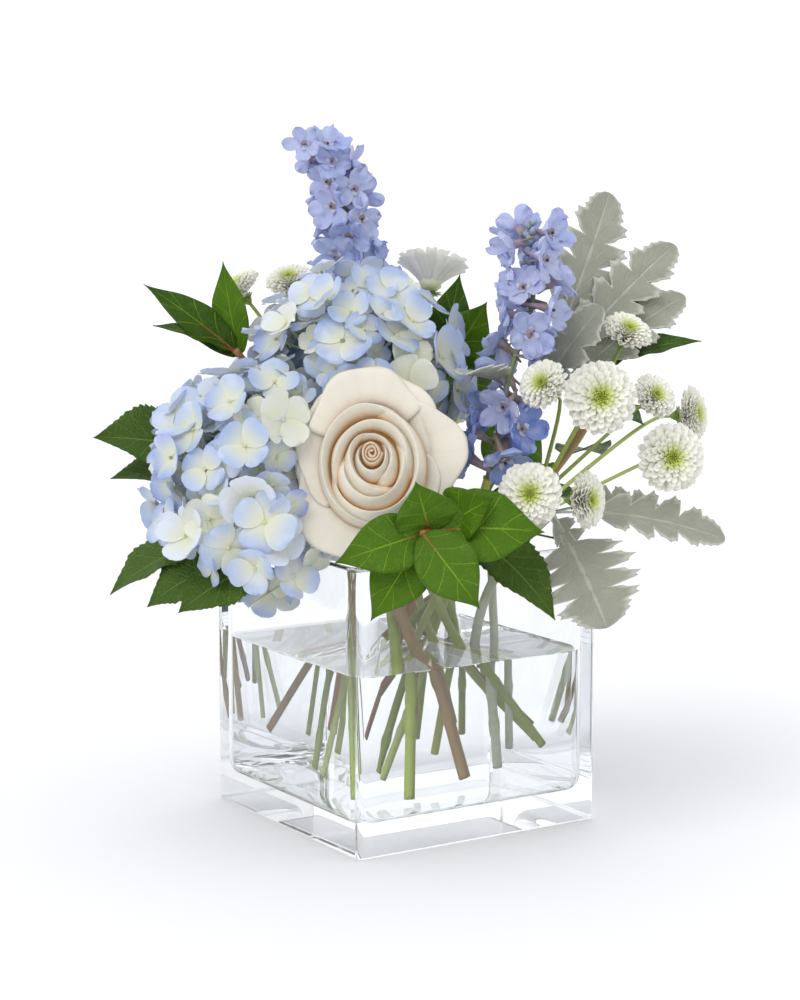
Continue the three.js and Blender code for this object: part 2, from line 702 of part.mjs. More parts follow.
// The two heads' cores, the lower one dented where the upper one presses on it.
function coreOf({ centre, core }, room = 0) {
  return solid(new THREE.IcosahedronGeometry(core + room, 1).translate(...centre));
}
grow('hydrangea_head_upper', coreOf(UPPER_HEAD));
grow('hydrangea_head_lower', coreOf(LOWER_HEAD).subtract(coreOf(UPPER_HEAD, 2 * GAP)));

// The rose's hip, a short cup behind its petals, and the bend of the stem that carries it.
const HIP = { top: 4.6, foot: 2.4, depth: 8 };
function growHip(name) {
  const ahead = point(ROSE_FACING).normalize();
  const seat = point(ROSE_FOOT).addScaledVector(ahead, -GAP);
  const hip = new THREE.CylinderGeometry(HIP.top, HIP.foot, HIP.depth, 6).rotateX(Math.PI / 2);
  grow(name, solid(standing(hip.translate(0, 0, -HIP.depth / 2), seat.toArray(), ROSE_FACING)));
  growBend(name, HIP.foot - 0.1, seat.clone().addScaledVector(ahead, 1 - HIP.depth));
}

growRose('rose_bloom');
growHip('rose_stem');

// The chrysanthemums: place, facing and radius, on three sprays and one at the back.
const MUMS = {
  mum_stems_upper: [
    [[85, -52, 197], [0.12, -0.95, 0.2], 18],
    [[62, -36, 201], [-0.5, -0.75, 0.45], 13],
    [[101, -6, 222], [0.3, -0.55, 0.8], 13],
    [[111, -27, 195], [0.5, -0.75, 0.5], 12],
  ],
  mum_stems_lower: [
    [[129, -14, 186], [0.85, -0.45, 0.15], 14],
    [[117, -44, 170], [0.2, -0.95, 0.1], 17],
    [[54, -75, 158], [-0.1, -0.97, 0.2], 15.5],
    [[78, -64, 154], [0.8, -0.6, 0.1], 14],
  ],
  mum_stems_left: [
    [[-76, 24, 240], [-0.55, -0.3, 0.75], 13],
    [[-53, 36, 243], [-0.15, -0.45, 0.85], 13],
    [[13, 44, 244], [0.1, 0.3, 0.9], 19],
  ],
  mum_stems_back: [
    [[30, 82, 184], [0.2, 0.9, 0.4], 18],
  ],
};
for (const [stemName, blooms] of Object.entries(MUMS)) {
  blooms.forEach(([place, facing, radius], k) => {
    growMum(stemName.replace('stems', `bloom_${k + 1}`), stemName, curves[stemName], place, facing, radius);
  });
}


growLeaves('dusty_miller_upper', [
  [DUSTY_EDGE, [66, 22, 214], [97, 50, 284], [0.2, -1, 0.1], 36, 0.4],
  [DUSTY_EDGE, [76, 20, 204], [127, 40, 260], [-0.2, -1, 0.5], 32, 0.5],
  [DUSTY_EDGE, [76, 10, 186], [134, 16, 236], [-0.1, -0.9, 0.6], 30, 0.5],
  [SMALL_DUSTY_EDGE, [62, -4, 188], [90, -6, 232], [-0.2, -0.9, 0.5], 28, 0.6],
  [SMALL_DUSTY_EDGE, [55, -28, 184], [28, -56, 203], [-0.3, -0.3, 1], 24, 0.9],
]);

for (const [key, spike] of Object.entries(SPIKES)) {
  growSpike(`delphinium_spike_${key}`, curves[`delphinium_stem_${key}`], spike);
}

const FRONT = [0, -1, 0.25];
const BACK = [0, 1, 0.3];
const LEFT = [-0.6, -0.4, 0.7];

growLeaves('salal_front', [
  [SALAL_EDGE, [11, -86, 144], [5, -102, 167], FRONT, 27, 0.4],
  [SALAL_EDGE, [10, -90, 143], [-29, -104, 133], FRONT, 25, 0.5],
  [SALAL_EDGE, [9, -94, 143], [32, -101, 113], FRONT, 26, 0.5],
  [SALAL_EDGE, [10, -88, 142], [-14, -97, 107], [-0.2, -1, 0], 26, 0.4],
  [SALAL_EDGE, [14, -82, 144], [60, -84, 143], [0.1, -1, 0.6], 34, 0.5],
  [SALAL_EDGE, [15, -76, 142], [38, -88, 158], [0.1, -1, 0.6], 26, 0.4],
]);
growLeaves('dusty_miller_lower', [
  [DUSTY_EDGE, [72, -50, 153], [88, -70, 99], [0.1, -1, 0.4], 50, 0.5],
  [DUSTY_EDGE, [76, -40, 152], [142, -42, 133], [0.2, -0.7, 0.8], 30, 0.6],
  [SMALL_DUSTY_EDGE, [78, -30, 150], [120, -8, 140], [0.4, -0.2, 1], 30, 0.6],
  [SMALL_DUSTY_EDGE, [64, -36, 146], [78, -30, 118], [0.8, -0.6, 0.2], 26, 0.4],
]);
growLeaves('salal_left', [
  [SALAL_EDGE, [-76, -4, 214], [-117, -6, 244], LEFT, 17, 0.4],
  [SALAL_EDGE, [-76, -6, 212], [-112, -16, 226], LEFT, 17, 0.4],
  [SALAL_EDGE, [-74, -2, 213], [-82, 5, 254], [-0.3, -0.9, 0.2], 17, 0.3],
  [SALAL_EDGE, [-50, 18, 178], [-88, 34, 186], [-0.5, 0.3, 0.8], 22, 0.5],
]);
growLeaves('salal_middle', [
  [SALAL_EDGE, [16, 14, 206], [26, 12, 248], [-0.2, -1, 0.1], 21, 0.3],
  [SALAL_EDGE, [18, 10, 204], [38, -2, 236], [0.1, -1, 0.2], 25, 0.3],
  [SALAL_EDGE, [17, 18, 196], [14, 60, 226], BACK, 24, 0.5],
  [SALAL_EDGE, [18, 20, 186], [52, 48, 214], [0.3, 0.8, 0.4], 24, 0.5],
]);
growLeaves('salal_right', [
  [SALAL_EDGE, [92, 12, 205], [108, 30, 258], [0, -1, 0.2], 17, 0.4],
  [SALAL_EDGE, [98, 14, 212], [137, 12, 217], [0.1, -0.5, 1], 16, 0.4],
  [SALAL_EDGE, [87, 8, 185], [104, -20, 182], [0.3, -0.3, 1], 22, 0.5],
  [SALAL_EDGE, [84, 10, 178], [120, 34, 184], [0.4, 0.3, 1], 24, 0.5],
  [SALAL_EDGE, [74, 12, 165], [96, 46, 160], [0.3, 0.7, 0.7], 26, 0.6],
]);
growLeaves('salal_back', [
  [SALAL_EDGE, [3, 56, 142], [-18, 100, 132], BACK, 36, 0.6],
  [SALAL_EDGE, [2, 60, 149], [26, 102, 136], BACK, 36, 0.6],
  [SALAL_EDGE, [2, 50, 136], [-40, 78, 152], BACK, 34, 0.5],
  [SALAL_EDGE, [2, 62, 150], [-2, 90, 178], BACK, 34, 0.4],
]);
growLeaves('salal_corner', [
  [SALAL_EDGE, [45, 57, 150], [76, 86, 132], [0.5, 0.8, 0.4], 38, 0.6],
  [SALAL_EDGE, [36, 48, 134], [92, 54, 138], [0.5, 0.4, 0.8], 38, 0.5],
  [SALAL_EDGE, [46, 58, 152], [66, 78, 178], [0.3, 0.9, 0.3], 32, 0.4],
]);
growLeaves('hydrangea_stem_lower', [
  [HYDRANGEA_EDGE, [-58, -62, 128], [-97, -72, 106], [-0.5, -0.7, 0.5], 34, 0.6],
  [HYDRANGEA_EDGE, [-72, -46, 126], [-113, -48, 104], [-0.5, -0.5, 0.6], 36, 0.6],
  [HYDRANGEA_EDGE, [-82, -18, 130], [-131, -34, 107], [-0.6, -0.4, 0.6], 36, 0.7],
], [
  [[-24, -31, 130], [-44, -50, 130], [-58, -62, 127]],
  [[-25, -31, 131], [-46, -40, 129.5], [-72, -46, 125]],
  [[-25, -31, 131.5], [-50, -24, 131], [-82, -18, 129]],
]);
growLeaves('hydrangea_stem_upper', [
  [HYDRANGEA_EDGE, [-88, 2, 172], [-138, -28, 177], [-0.2, -0.7, 0.6], 38, 0.5],
  [HYDRANGEA_EDGE, [-84, 10, 152], [-122, -34, 156], [-0.5, -0.5, 0.6], 34, 0.5],
  [HYDRANGEA_EDGE, [-60, 30, 165], [-96, 44, 150], [-0.5, 0.6, 0.6], 36, 0.6],
], [[[-14, -14, 134], [-36, 4, 142], [-64, 14, 150], [-80, 10, 162]]]);
growLeaves('rose_stem', [
  [HYDRANGEA_EDGE, [27, -42, 136], [65, -79, 104], [0.4, -0.8, 0.5], 30, 0.8],
], [[[5, -27, 122], [16, -36, 133], [28, -42, 136]]]);

growHead('hydrangea_head_lower', LOWER_HEAD, ROUTES.hydrangea_stem_lower.at(-1));
growHead('hydrangea_head_upper', UPPER_HEAD, ROUTES.hydrangea_stem_upper.at(-1));

// ---- The object ----

const object = new THREE.Group();

function addMesh(parent, name, geometry, material) {
  const mesh = new THREE.Mesh(geometry, material.clone());
  mesh.name = name;
  parent.add(mesh);
}

const KINDS = [
  [/^hydrangea_head/, HYDRANGEA],
  [/^hydrangea_stem/, HYDRANGEA_GREEN],
  [/^rose_bloom/, ROSE],
  [/^delphinium_spike/, DELPHINIUM],
  [/^mum_bloom/, MUM],
  [/^dusty/, SILVER],
  [/^salal/, SALAL],
  [/./, STEM_GREEN],
];

addMesh(object, 'vase', vaseGeometry(), GLASS);
addMesh(object, 'water', waterGeometry(), WATER);

const bunch = new THREE.Group();
bunch.rotation.z = BUNCH_TURN;
object.add(bunch);

nodes.delete('vase');
for (const [name, bodies] of nodes) {
  const whole = wasm.Manifold.union(bodies).simplify(WELD);
  const [, material] = KINDS.find(([pattern]) => pattern.test(name));
  addMesh(bunch, name, skinOf(whole), material);
}

export default object;
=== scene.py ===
"""A hand-tied bunch of cut flowers in a square glass vase of water.

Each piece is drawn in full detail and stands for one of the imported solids.
"""

import math
import random

import bmesh
import bpy
import numpy as np
from mathutils import Matrix, Vector
from mathutils.bvhtree import BVHTree


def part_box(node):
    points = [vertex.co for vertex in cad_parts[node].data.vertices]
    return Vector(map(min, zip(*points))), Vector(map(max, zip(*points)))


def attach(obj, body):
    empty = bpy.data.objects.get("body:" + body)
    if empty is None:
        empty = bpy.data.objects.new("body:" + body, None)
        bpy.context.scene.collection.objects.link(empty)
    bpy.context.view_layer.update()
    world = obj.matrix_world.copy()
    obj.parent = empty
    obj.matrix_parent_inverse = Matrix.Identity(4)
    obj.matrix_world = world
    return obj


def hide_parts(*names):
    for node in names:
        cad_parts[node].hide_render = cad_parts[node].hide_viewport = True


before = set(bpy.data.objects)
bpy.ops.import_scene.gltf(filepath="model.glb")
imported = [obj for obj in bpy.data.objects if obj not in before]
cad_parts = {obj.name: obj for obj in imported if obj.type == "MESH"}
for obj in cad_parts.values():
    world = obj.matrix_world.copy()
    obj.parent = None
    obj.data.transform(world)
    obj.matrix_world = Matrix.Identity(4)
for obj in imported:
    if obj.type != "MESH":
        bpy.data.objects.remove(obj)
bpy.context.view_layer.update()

bl_info = {
    "name": "Hydrangeas in a vase",
    "version": (1, 0, 0),
    "blender": (4, 5, 0),
    "location": "3D View > Sidebar > Bunch",
    "description": "Builds cut flowers in a glass cube vase, each kind of flower by its own operator",
    "category": "Add Mesh",
}

MM = 0.001
BUNCH_TURN = math.radians(-32.5)  # the bunch is drawn facing -Y and then turned about the vase's middle


def paint(code):
    """A hex colour as the linear red, green and blue that Blender works in."""
    parts = [int(code[k:k + 2], 16) / 255 for k in (0, 2, 4)]
    return tuple(c / 12.92 if c <= 0.04045 else ((c + 0.055) / 1.055) ** 2.4 for c in parts)


def blend(one, other, part):
    """A colour between two others."""
    return tuple(a + (b - a) * part for a, b in zip(one, other))


WHITE = (1, 1, 1)

# The colours of small parts that the settings leave out.
SHADES = {name: paint(code) for name, code in {
    "pith": "e8e6c4",
    "calyx": "5d8030",
    "floret_stalk": "b9c79a",
    "green_bead": "8f9a6a",
    "lime_bead": "d5dc8c",
    "pale_bead": "c9cf8f",
    "head_shadow": "5d7a94",
    "eye": "4a4460",
    "bee": "f4f0ea",
    "bud": "a9b57c",
    "spike_stem": "8f9c5a",
    "spike_stalk": "8a9a50",
    "rose_stalk": "8aa050",
    "hydrangea_stalk": "93a75a",
    "felt_stalk": "c3c8bc",
    "salal_stalk": "a05a34",
    "salal_vein": "9cc040",
    "salal_glow": "a4cc20",
    "toothed_vein": "8fae5a",
    "toothed_glow": "86a83c",
}.items()}


# ---- Settings ----

def colour(name, description, code):
    return bpy.props.FloatVectorProperty(
        name=name, description=description, default=paint(code), size=3, min=0, max=1, subtype="COLOR")


def metres(name, description, default):
    return bpy.props.FloatProperty(
        name=name, description=description, default=default, min=0, unit="LENGTH", precision=4)


def millimetres(name, description, default):
    return metres(name, description, default * MM)


def strength(name, description, default):
    return bpy.props.FloatProperty(name=name, description=description, default=default, min=0)


def group(kind, name, description):
    return bpy.props.PointerProperty(type=kind, name=name, description=description)


VASE_LOW, VASE_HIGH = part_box("vase")


class VaseSettings(bpy.types.PropertyGroup):
    side: metres("Side", "Outer width of the vase", VASE_HIGH[0] - VASE_LOW[0])
    height: metres("Height", "Height of the vase", VASE_HIGH[2] - VASE_LOW[2])
    wall: millimetres("Wall", "Thickness of the glass walls", 4)
    base: millimetres("Base", "Thickness of the glass under the water", 14)
    water_level: millimetres("Water level", "Height of the water over the table", 80)
    glass: colour("Glass", "Tint of the glass", "fdfeff")
    water: colour("Water", "Tint of the water", "feffff")


class HydrangeaSettings(bpy.types.PropertyGroup):
    florets: bpy.props.IntProperty(
        name="Florets", description="Places for florets on the upper head", default=270, min=1)
    pale: colour("Pale blue", "Most of the petals", "b2c7ec")
    white: colour("White", "The lightest petals", "e9eefa")
    cream: colour("Cream", "Young petals", "eeefcf")
    deep: colour("Periwinkle", "The deepest petals", "8fa5de")
    heart: colour("Heart", "The middle of a floret", "e3e6ac")
    leaf: colour("Leaf", "Upper side of the leaves", "4e6c26")


class RoseSettings(bpy.types.PropertyGroup):
    ivory: colour("Ivory", "The lips of the petals", "ebe5d6")
    # The peach is partly the rose's own warm colour at the feet of its petals and partly painted shade,
    # deepest in the creases between them.
    peach_and_crease_shade: colour("Peach", "Deep between the petals", "f0be80")


class SpikeSettings(bpy.types.PropertyGroup):
    blue: colour("Blue", "Most of the delphinium's petals", "b0c2ee")
    violet: colour("Violet", "Its violet petals", "bec4ea")
    deep: colour("Deep blue", "Its lowest florets", "5579d0")
    spur: colour("Spur", "Its spurs", "b3977f")


class DaisySettings(bpy.types.PropertyGroup):
    petal: colour("Petal", "The strap petals", "fdfcf4")
    heart: colour("Heart", "The young florets in the middle", "cbd85a")


class LeafSettings(bpy.types.PropertyGroup):
    salal: colour("Salal", "Bright salal leaves", "4f780a")
    salal_dark: colour("Dark salal", "Older salal leaves", "375a12")
    silver: colour("Silver", "Dusty miller leaves", "aeafa0")
    silver_edge: colour("Silver edge", "The edges of dusty miller leaves", "d8d9cd")


class StageSettings(bpy.types.PropertyGroup):
    floor: colour("Floor", "Floor and backdrop", "f6f6f8")
    key_power: strength("Key light", "Strength of the soft light from the upper left", 1.06)
    room_light: strength("Room light", "Strength of the light from all around", 0.92)
    distance: millimetres("Camera distance", "From the camera to the middle of the bunch", 1100)


class BunchSettings(bpy.types.PropertyGroup):
    vase: group(VaseSettings, "Vase", "The glass and the water")
    hydrangea: group(HydrangeaSettings, "Hydrangea", "The two round heads")
    rose: group(RoseSettings, "Rose", "The open rose")
    spike: group(SpikeSettings, "Delphinium", "The two blue spikes")
    daisy: group(DaisySettings, "Daisies", "The button chrysanthemums")
    leaf: group(LeafSettings, "Leaves", "The cut greens")
    stage: group(StageSettings, "Stage", "Floor, light and camera")


# ---- Where things stand, in millimetres, in the bunch's own frame ----

# Each stem: its radius, its bark colour, and its points from the cut foot up.
ROUTES = {
    "hydrangea_stem_lower": (3.4, "a98a5c", [(23, -30, 24), (6, -29, 78), (-10, -29, 112), (-26, -31, 132)]),
    "hydrangea_stem_upper": (3.2, "a9bf4e", [(-3, -39, 17), (-4, -28, 78), (-9, -16, 115), (-16, -11, 150)]),
    "rose_stem": (2.4, "9fb04a", [(59, -5, 33), (25, -13, 80), (10, -23, 112), (-8, -36, 152)]),
    "delphinium_stem_tall": (2.4, "b9c468", [
        (53, 15, 33), (14, 4, 78), (2, 14, 120), (-8, 30, 200),
        (-22, 29, 240), (-27, 27, 268), (-28, 25, 292), (-44, 23, 309)]),
    "delphinium_stem_loose": (2.4, "bcc663", [
        (1, 17, 27), (12, 12, 78), (25, -1, 115), (40, -31, 168),
        (47, -26, 204), (58, -14, 238), (57, -6, 272)]),
    "mum_stems_upper": (2.4, "93a846", [(-24, -10, 24), (-5, 0, 78), (22, -6, 108), (60, -28, 150)]),
    "mum_stems_lower": (2.2, "b8c672", [(-20, -16, 22), (3, -9, 78), (18, -16, 108), (50, -44, 140)]),
    "mum_stems_left": (2.0, "adbd5a", [(25, 10, 68), (22, 19, 90), (2, 27, 125), (-50, 40, 200)]),
    "mum_stems_back": (2.0, "adbd5a", [(-12, 42, 30), (-4, 36, 78), (8, 44, 115), (20, 58, 165)]),
    "salal_left": (2.2, "a97f5c", [
        (50, 22, 38), (10, 19, 78), (0, 30, 110), (-58, 14, 188), (-76, -4, 214)]),
    "salal_right": (2.6, "ab8a5c", [
        (-45, 30, 33), (-9, 18, 78), (25, 15, 108), (80, 8, 172), (98, 14, 212)]),
    "salal_middle": (2.2, "b2bd62", [(10, 52, 30), (13, 34, 78), (16, 26, 120), (18, 14, 205)]),
    "salal_front": (2.0, "b57a45", [
        (-8, 6, 40), (-1, -14, 90), (13, -41, 125), (15, -74, 142), (8, -94, 144)]),
    "salal_back": (2.2, "b0ad62", [(14, -6, 45), (4, 3, 80), (4, 30, 115), (2, 62, 150)]),
    "salal_corner": (2.2, "b0ad62", [(30, 30, 40), (22, 32, 78), (26, 40, 115), (46, 58, 152)]),
    "dusty_miller_upper": (2.4, "dde2cf", [(40, 10, 30), (41, -4, 78), (41, 3, 120), (60, 6, 192)]),
    "dusty_miller_lower": (2.8, "dde2cf", [(35, 3, 22), (32, -2, 78), (41, -14, 112), (66, -38, 145)]),
}
TWIG = 1.1  # radius of a side shoot

# Each head: its middle, the radius of its core and of its florets' faces, and how far the lowest hang.
HEADS = {
    "hydrangea_head_lower": {"centre": (-64, -38, 162), "core": 31.5, "reach": 46, "hang": 0.28, "seed": 3},
    "hydrangea_head_upper": {"centre": (-23, -7, 198), "core": 37, "reach": 51, "hang": 0.0, "seed": 8},
}

ROSE_FOOT = (-12, -52, 170)
ROSE_FACING = (-0.06, -0.96, 0.24)

# The chrysanthemums of each spray: place, facing and radius.
MUMS = {
    "mum_stems_upper": [
        ((85, -52, 197), (0.12, -0.95, 0.2), 18),
        ((62, -36, 201), (-0.5, -0.75, 0.45), 13),
        ((101, -6, 222), (0.3, -0.55, 0.8), 13),
        ((111, -27, 195), (0.5, -0.75, 0.5), 12),
    ],
    "mum_stems_lower": [
        ((129, -14, 186), (0.85, -0.45, 0.15), 14),
        ((117, -44, 170), (0.2, -0.95, 0.1), 17),
        ((54, -75, 158), (-0.1, -0.97, 0.2), 15.5),
        ((78, -64, 154), (0.8, -0.6, 0.1), 14),
    ],
    "mum_stems_left": [
        ((-76, 24, 240), (-0.55, -0.3, 0.75), 13),
        ((-53, 36, 243), (-0.15, -0.45, 0.85), 13),
        ((13, 44, 244), (0.1, 0.3, 0.9), 19),
    ],
    "mum_stems_back": [((30, 82, 184), (0.2, 0.9, 0.4), 18)],
}

# Where each bare stem ends and its spike starts, and the florets' reach and radius at the spike's two ends.
SPIKES = {
    "tall": {
        "stem_end": 0.69, "start": 0.692, "count": 34, "low": (17, 12), "high": (6, 9), "seed": 5},
    "loose": {
        "stem_end": 0.55, "start": 0.5525, "count": 28, "low": (13, 12.5), "high": (11, 11), "seed": 9},
}

FRONT = (0, -1, 0.25)
BACK = (0, 1, 0.3)
LEFT = (-0.6, -0.4, 0.7)

# Leaves: kind, where the blade starts, its tip, the way its upper face looks, its width and its bend.
LEAVES = {
    "dusty_miller_upper": [
        ("dusty", (66, 22, 214), (97, 50, 284), (0.2, -1, 0.1), 36, 0.4),
        ("dusty", (76, 20, 204), (127, 40, 260), (-0.2, -1, 0.5), 32, 0.5),
        ("dusty", (76, 10, 186), (130.5, 26.7, 237), (-0.1, -0.9, 0.6), 30, 0.5),
        ("small_dusty", (62, -4, 188), (89, -10.3, 234.4), (-0.2, -0.9, 0.5), 28, 0.6),
        ("small_dusty", (55, -28, 184), (26.6, -57.4, 207.6), (-0.3, -0.3, 1), 24, 0.9),
    ],
    "dusty_miller_lower": [
        ("dusty", (72, -50, 153), (88, -70, 99), (0.1, -1, 0.4), 50, 0.5),
        ("dusty", (76, -40, 152), (142, -42, 133), (0.2, -0.7, 0.8), 30, 0.6),
        ("small_dusty", (78, -30, 150), (120, -8, 140), (0.4, -0.2, 1), 30, 0.6),
        ("small_dusty", (64, -36, 146), (78, -30, 118), (0.8, -0.6, 0.2), 26, 0.4),
    ],
    "salal_front": [
        ("salal", (11, -86, 144), (5, -102, 167), FRONT, 27, 0.4),
        ("salal", (10, -90, 143), (-29, -104, 133), FRONT, 25, 0.5),
        ("salal", (9, -94, 143), (32, -101, 113), FRONT, 26, 0.5),
        ("salal", (10, -88, 142), (-14, -97, 107), (-0.2, -1, 0), 26, 0.4),
        ("salal", (14, -82, 144), (60, -84, 143), (0.1, -1, 0.6), 34, 0.5),
        ("salal", (15, -76, 142), (38, -88, 158), (0.1, -1, 0.6), 26, 0.4),
    ],
    "salal_left": [
        ("dark_salal", (-76, -4, 214), (-117, -6, 244), LEFT, 17, 0.4),
        ("dark_salal", (-76, -6, 212), (-112, -16, 226), LEFT, 17, 0.4),
        ("salal", (-74, -2, 213), (-82, 5, 254), (-0.3, -0.9, 0.2), 17, 0.3),
        ("dark_salal", (-50, 18, 178), (-88, 34, 186), (-0.5, 0.3, 0.8), 22, 0.5),
    ],
    "salal_middle": [
        ("dark_salal", (16, 14, 206), (26, 12, 248), (-0.2, -1, 0.1), 21, 0.3),
        ("salal", (18, 10, 204), (38, -2, 236), (0.1, -1, 0.2), 25, 0.3),
        ("salal", (17, 18, 196), (14, 60, 226), BACK, 24, 0.5),
        ("dark_salal", (18, 20, 186), (52, 48, 214), (0.3, 0.8, 0.4), 24, 0.5),
    ],
    "salal_right": [
        ("salal", (92, 12, 205), (115.8, 37.5, 254.6), (0, -1, 0.2), 17, 0.4),
        ("dark_salal", (98, 14, 212), (137, 12, 217), (0.1, -0.5, 1), 16, 0.4),
        ("dark_salal", (87, 8, 185), (108.2, -17.4, 181.5), (0.3, -0.3, 1), 22, 0.5),
        ("salal", (84, 10, 178), (120, 34, 184), (0.4, 0.3, 1), 24, 0.5),
        ("dark_salal", (74, 12, 165), (96, 46, 160), (0.3, 0.7, 0.7), 26, 0.6),
    ],
    "salal_back": [
        ("salal", (3, 56, 142), (-18, 100, 132), BACK, 36, 0.6),
        ("salal", (2, 60, 149), (26, 102, 136), BACK, 36, 0.6),
        ("dark_salal", (2, 50, 136), (-40, 82.8, 153.4), BACK, 34, 0.5),
        ("dark_salal", (2, 62, 150), (-2, 90, 178), BACK, 34, 0.4),
    ],
    "salal_corner": [
        ("salal", (45, 57, 150), (76, 86, 132), (0.5, 0.8, 0.4), 38, 0.6),
        ("dark_salal", (36, 48, 134), (92, 54, 138), (0.5, 0.4, 0.8), 38, 0.5),
        ("salal", (46, 58, 152), (66, 78, 178), (0.3, 0.9, 0.3), 32, 0.4),
    ],
    "hydrangea_stem_lower": [
        ("hydrangea", (-58, -62, 128), (-97, -72, 106), (-0.5, -0.7, 0.5), 34, 0.6),
        ("hydrangea", (-72, -46, 126), (-113, -48, 104), (-0.5, -0.5, 0.6), 36, 0.6),
        ("hydrangea", (-82, -18, 130), (-131, -34, 107), (-0.6, -0.4, 0.6), 36, 0.7),
    ],
    "hydrangea_stem_upper": [
        ("hydrangea", (-88, 2, 172), (-138, -28, 177), (-0.2, -0.7, 0.6), 38, 0.5),
        ("hydrangea", (-84, 10, 152), (-131.4, -22.5, 157.8), (-0.5, -0.5, 0.6), 34, 0.5),
        ("hydrangea", (-60, 30, 165), (-96, 44, 150), (-0.5, 0.6, 0.6), 36, 0.6),
    ],
    "rose_stem": [("hydrangea", (27, -42, 136), (65, -79, 104), (0.4, -0.8, 0.5), 30, 0.8)],
}

# The side shoots that carry a stem's toothed leaves.
SHOOTS = {
    "hydrangea_stem_lower": [
        [(-24, -31, 130), (-44, -50, 130), (-58, -62, 127)],
        [(-25, -31, 131), (-46, -40, 129.5), (-72, -46, 125)],
        [(-25, -31, 131.5), (-50, -24, 131), (-82, -18, 129)],
    ],
    "hydrangea_stem_upper": [[(-14, -14, 134), (-36, 4, 142), (-64, 14, 150), (-80, 10, 162)]],
    "rose_stem": [[(5, -27, 122), (16, -36, 133), (28, -42, 136)]],
}


# ---- Materials ----

class Value:
    """A socket of a material's nodes that Python's operators can do sums with."""

    def __init__(self, finish, socket):
        self.finish = finish
        self.socket = socket

    def sum_of(self, operation, *values):
        return self.finish.node("ShaderNodeMath", {"operation": operation}, dict(enumerate(values)))

    def __add__(self, other):
        return self.sum_of("ADD", self, other)

    def __sub__(self, other):
        return self.sum_of("SUBTRACT", self, other)

    def __rsub__(self, other):
        return self.sum_of("SUBTRACT", other, self)

    def __mul__(self, other):
        return self.sum_of("MULTIPLY", self, other)

    def __pow__(self, other):
        return self.sum_of("POWER", self, other)

    def __abs__(self):
        return self.sum_of("ABSOLUTE", self)

    def fraction(self):
        return self.sum_of("FRACT", self)

    def between(self, low, high):
        """0 below `low` and 1 above `high`, or the other way round where `low` is the larger."""
        settings = {"interpolation_type": "SMOOTHSTEP"}
        inputs = {"Value": self, "From Min": low, "From Max": high}
        return self.finish.node("ShaderNodeMapRange", settings, inputs)


class Finish:
    """A material whose nodes are added one call at a time."""

    def __init__(self, name):
        self.material = bpy.data.materials.new(name)
        self.material.use_nodes = True
        self.tree = self.material.node_tree
        self.tree.nodes.clear()

    def node(self, kind, settings=None, inputs=None, output=0):
        """Any node, from its type, settings and inputs, as the value of one of its outputs."""
        made = self.tree.nodes.new(kind)
        for key, value in (settings or {}).items():
            setattr(made, key, value)
        for key, value in (inputs or {}).items():
            if isinstance(value, Value):
                self.tree.links.new(value.socket, made.inputs[key])
            else:
                made.inputs[key].default_value = value
        return Value(self, made.outputs[output]) if made.outputs else None

    def mix(self, one, other, part, way="MIX"):
        """A colour mixed from two, which may be sockets or plain colours."""
        one, other = [c if isinstance(c, Value) else (*c, 1) for c in (one, other)]
        settings = {"data_type": "RGBA", "blend_type": way}
        return self.node("ShaderNodeMix", settings, {0: part, 6: one, 7: other}, output=2)

    def attribute(self, name, output):
        return self.node("ShaderNodeAttribute", {"attribute_name": name}, output=output)

    def tint(self):
        """The colour that each point of the mesh carries."""
        return self.attribute("tint", "Color")

    def marks(self):
        """Where on its petal a point lies, across (-1 to 1) and along (0 to 1), and the petal's chance."""
        vector = self.attribute("marks", "Vector")
        return [self.node("ShaderNodeSeparateXYZ", {}, {0: vector}, output=k) for k in range(3)]

    def noise(self, scale, detail):
        place = self.node("ShaderNodeTexCoord", output="Object")
        return self.node("ShaderNodeTexNoise", {}, {"Scale": scale, "Detail": detail, "Vector": place})

    def bump(self, height, depth, distance):
        return self.node("ShaderNodeBump", {}, {"Height": height, "Strength": depth, "Distance": distance})

    def surface(self, inputs, glow=None, glow_part=0.0):
        """Ends the material with a Principled shader, which lets some light through where it has a glow."""
        shader = self.node("ShaderNodeBsdfPrincipled", {}, inputs)
        if glow is not None:
            through = self.node("ShaderNodeBsdfTranslucent", {}, {"Color": (*glow, 1)})
            shader = self.node("ShaderNodeMixShader", {}, {0: glow_part, 1: shader, 2: through})
        self.node("ShaderNodeOutputMaterial", {}, {"Surface": shader})
        return self.material


def clear_finish(name, tint, ior):
    """Glass or water: clear to the eye, and letting the lamps' light straight through."""
    finish = Finish(name)
    clear = finish.node("ShaderNodeBsdfPrincipled", {}, {
        "Base Color": (*tint, 1), "Roughness": 0.0, "IOR": ior, "Transmission Weight": 1.0})
    open_air = finish.node("ShaderNodeBsdfTransparent", {}, {"Color": (*blend(tint, WHITE, 0.5), 1)})
    for_lamps = finish.node("ShaderNodeLightPath", output="Is Shadow Ray")
    shader = finish.node("ShaderNodeMixShader", {}, {0: for_lamps, 1: clear, 2: open_air})
    finish.node("ShaderNodeOutputMaterial", {}, {"Surface": shader})
    return finish.material


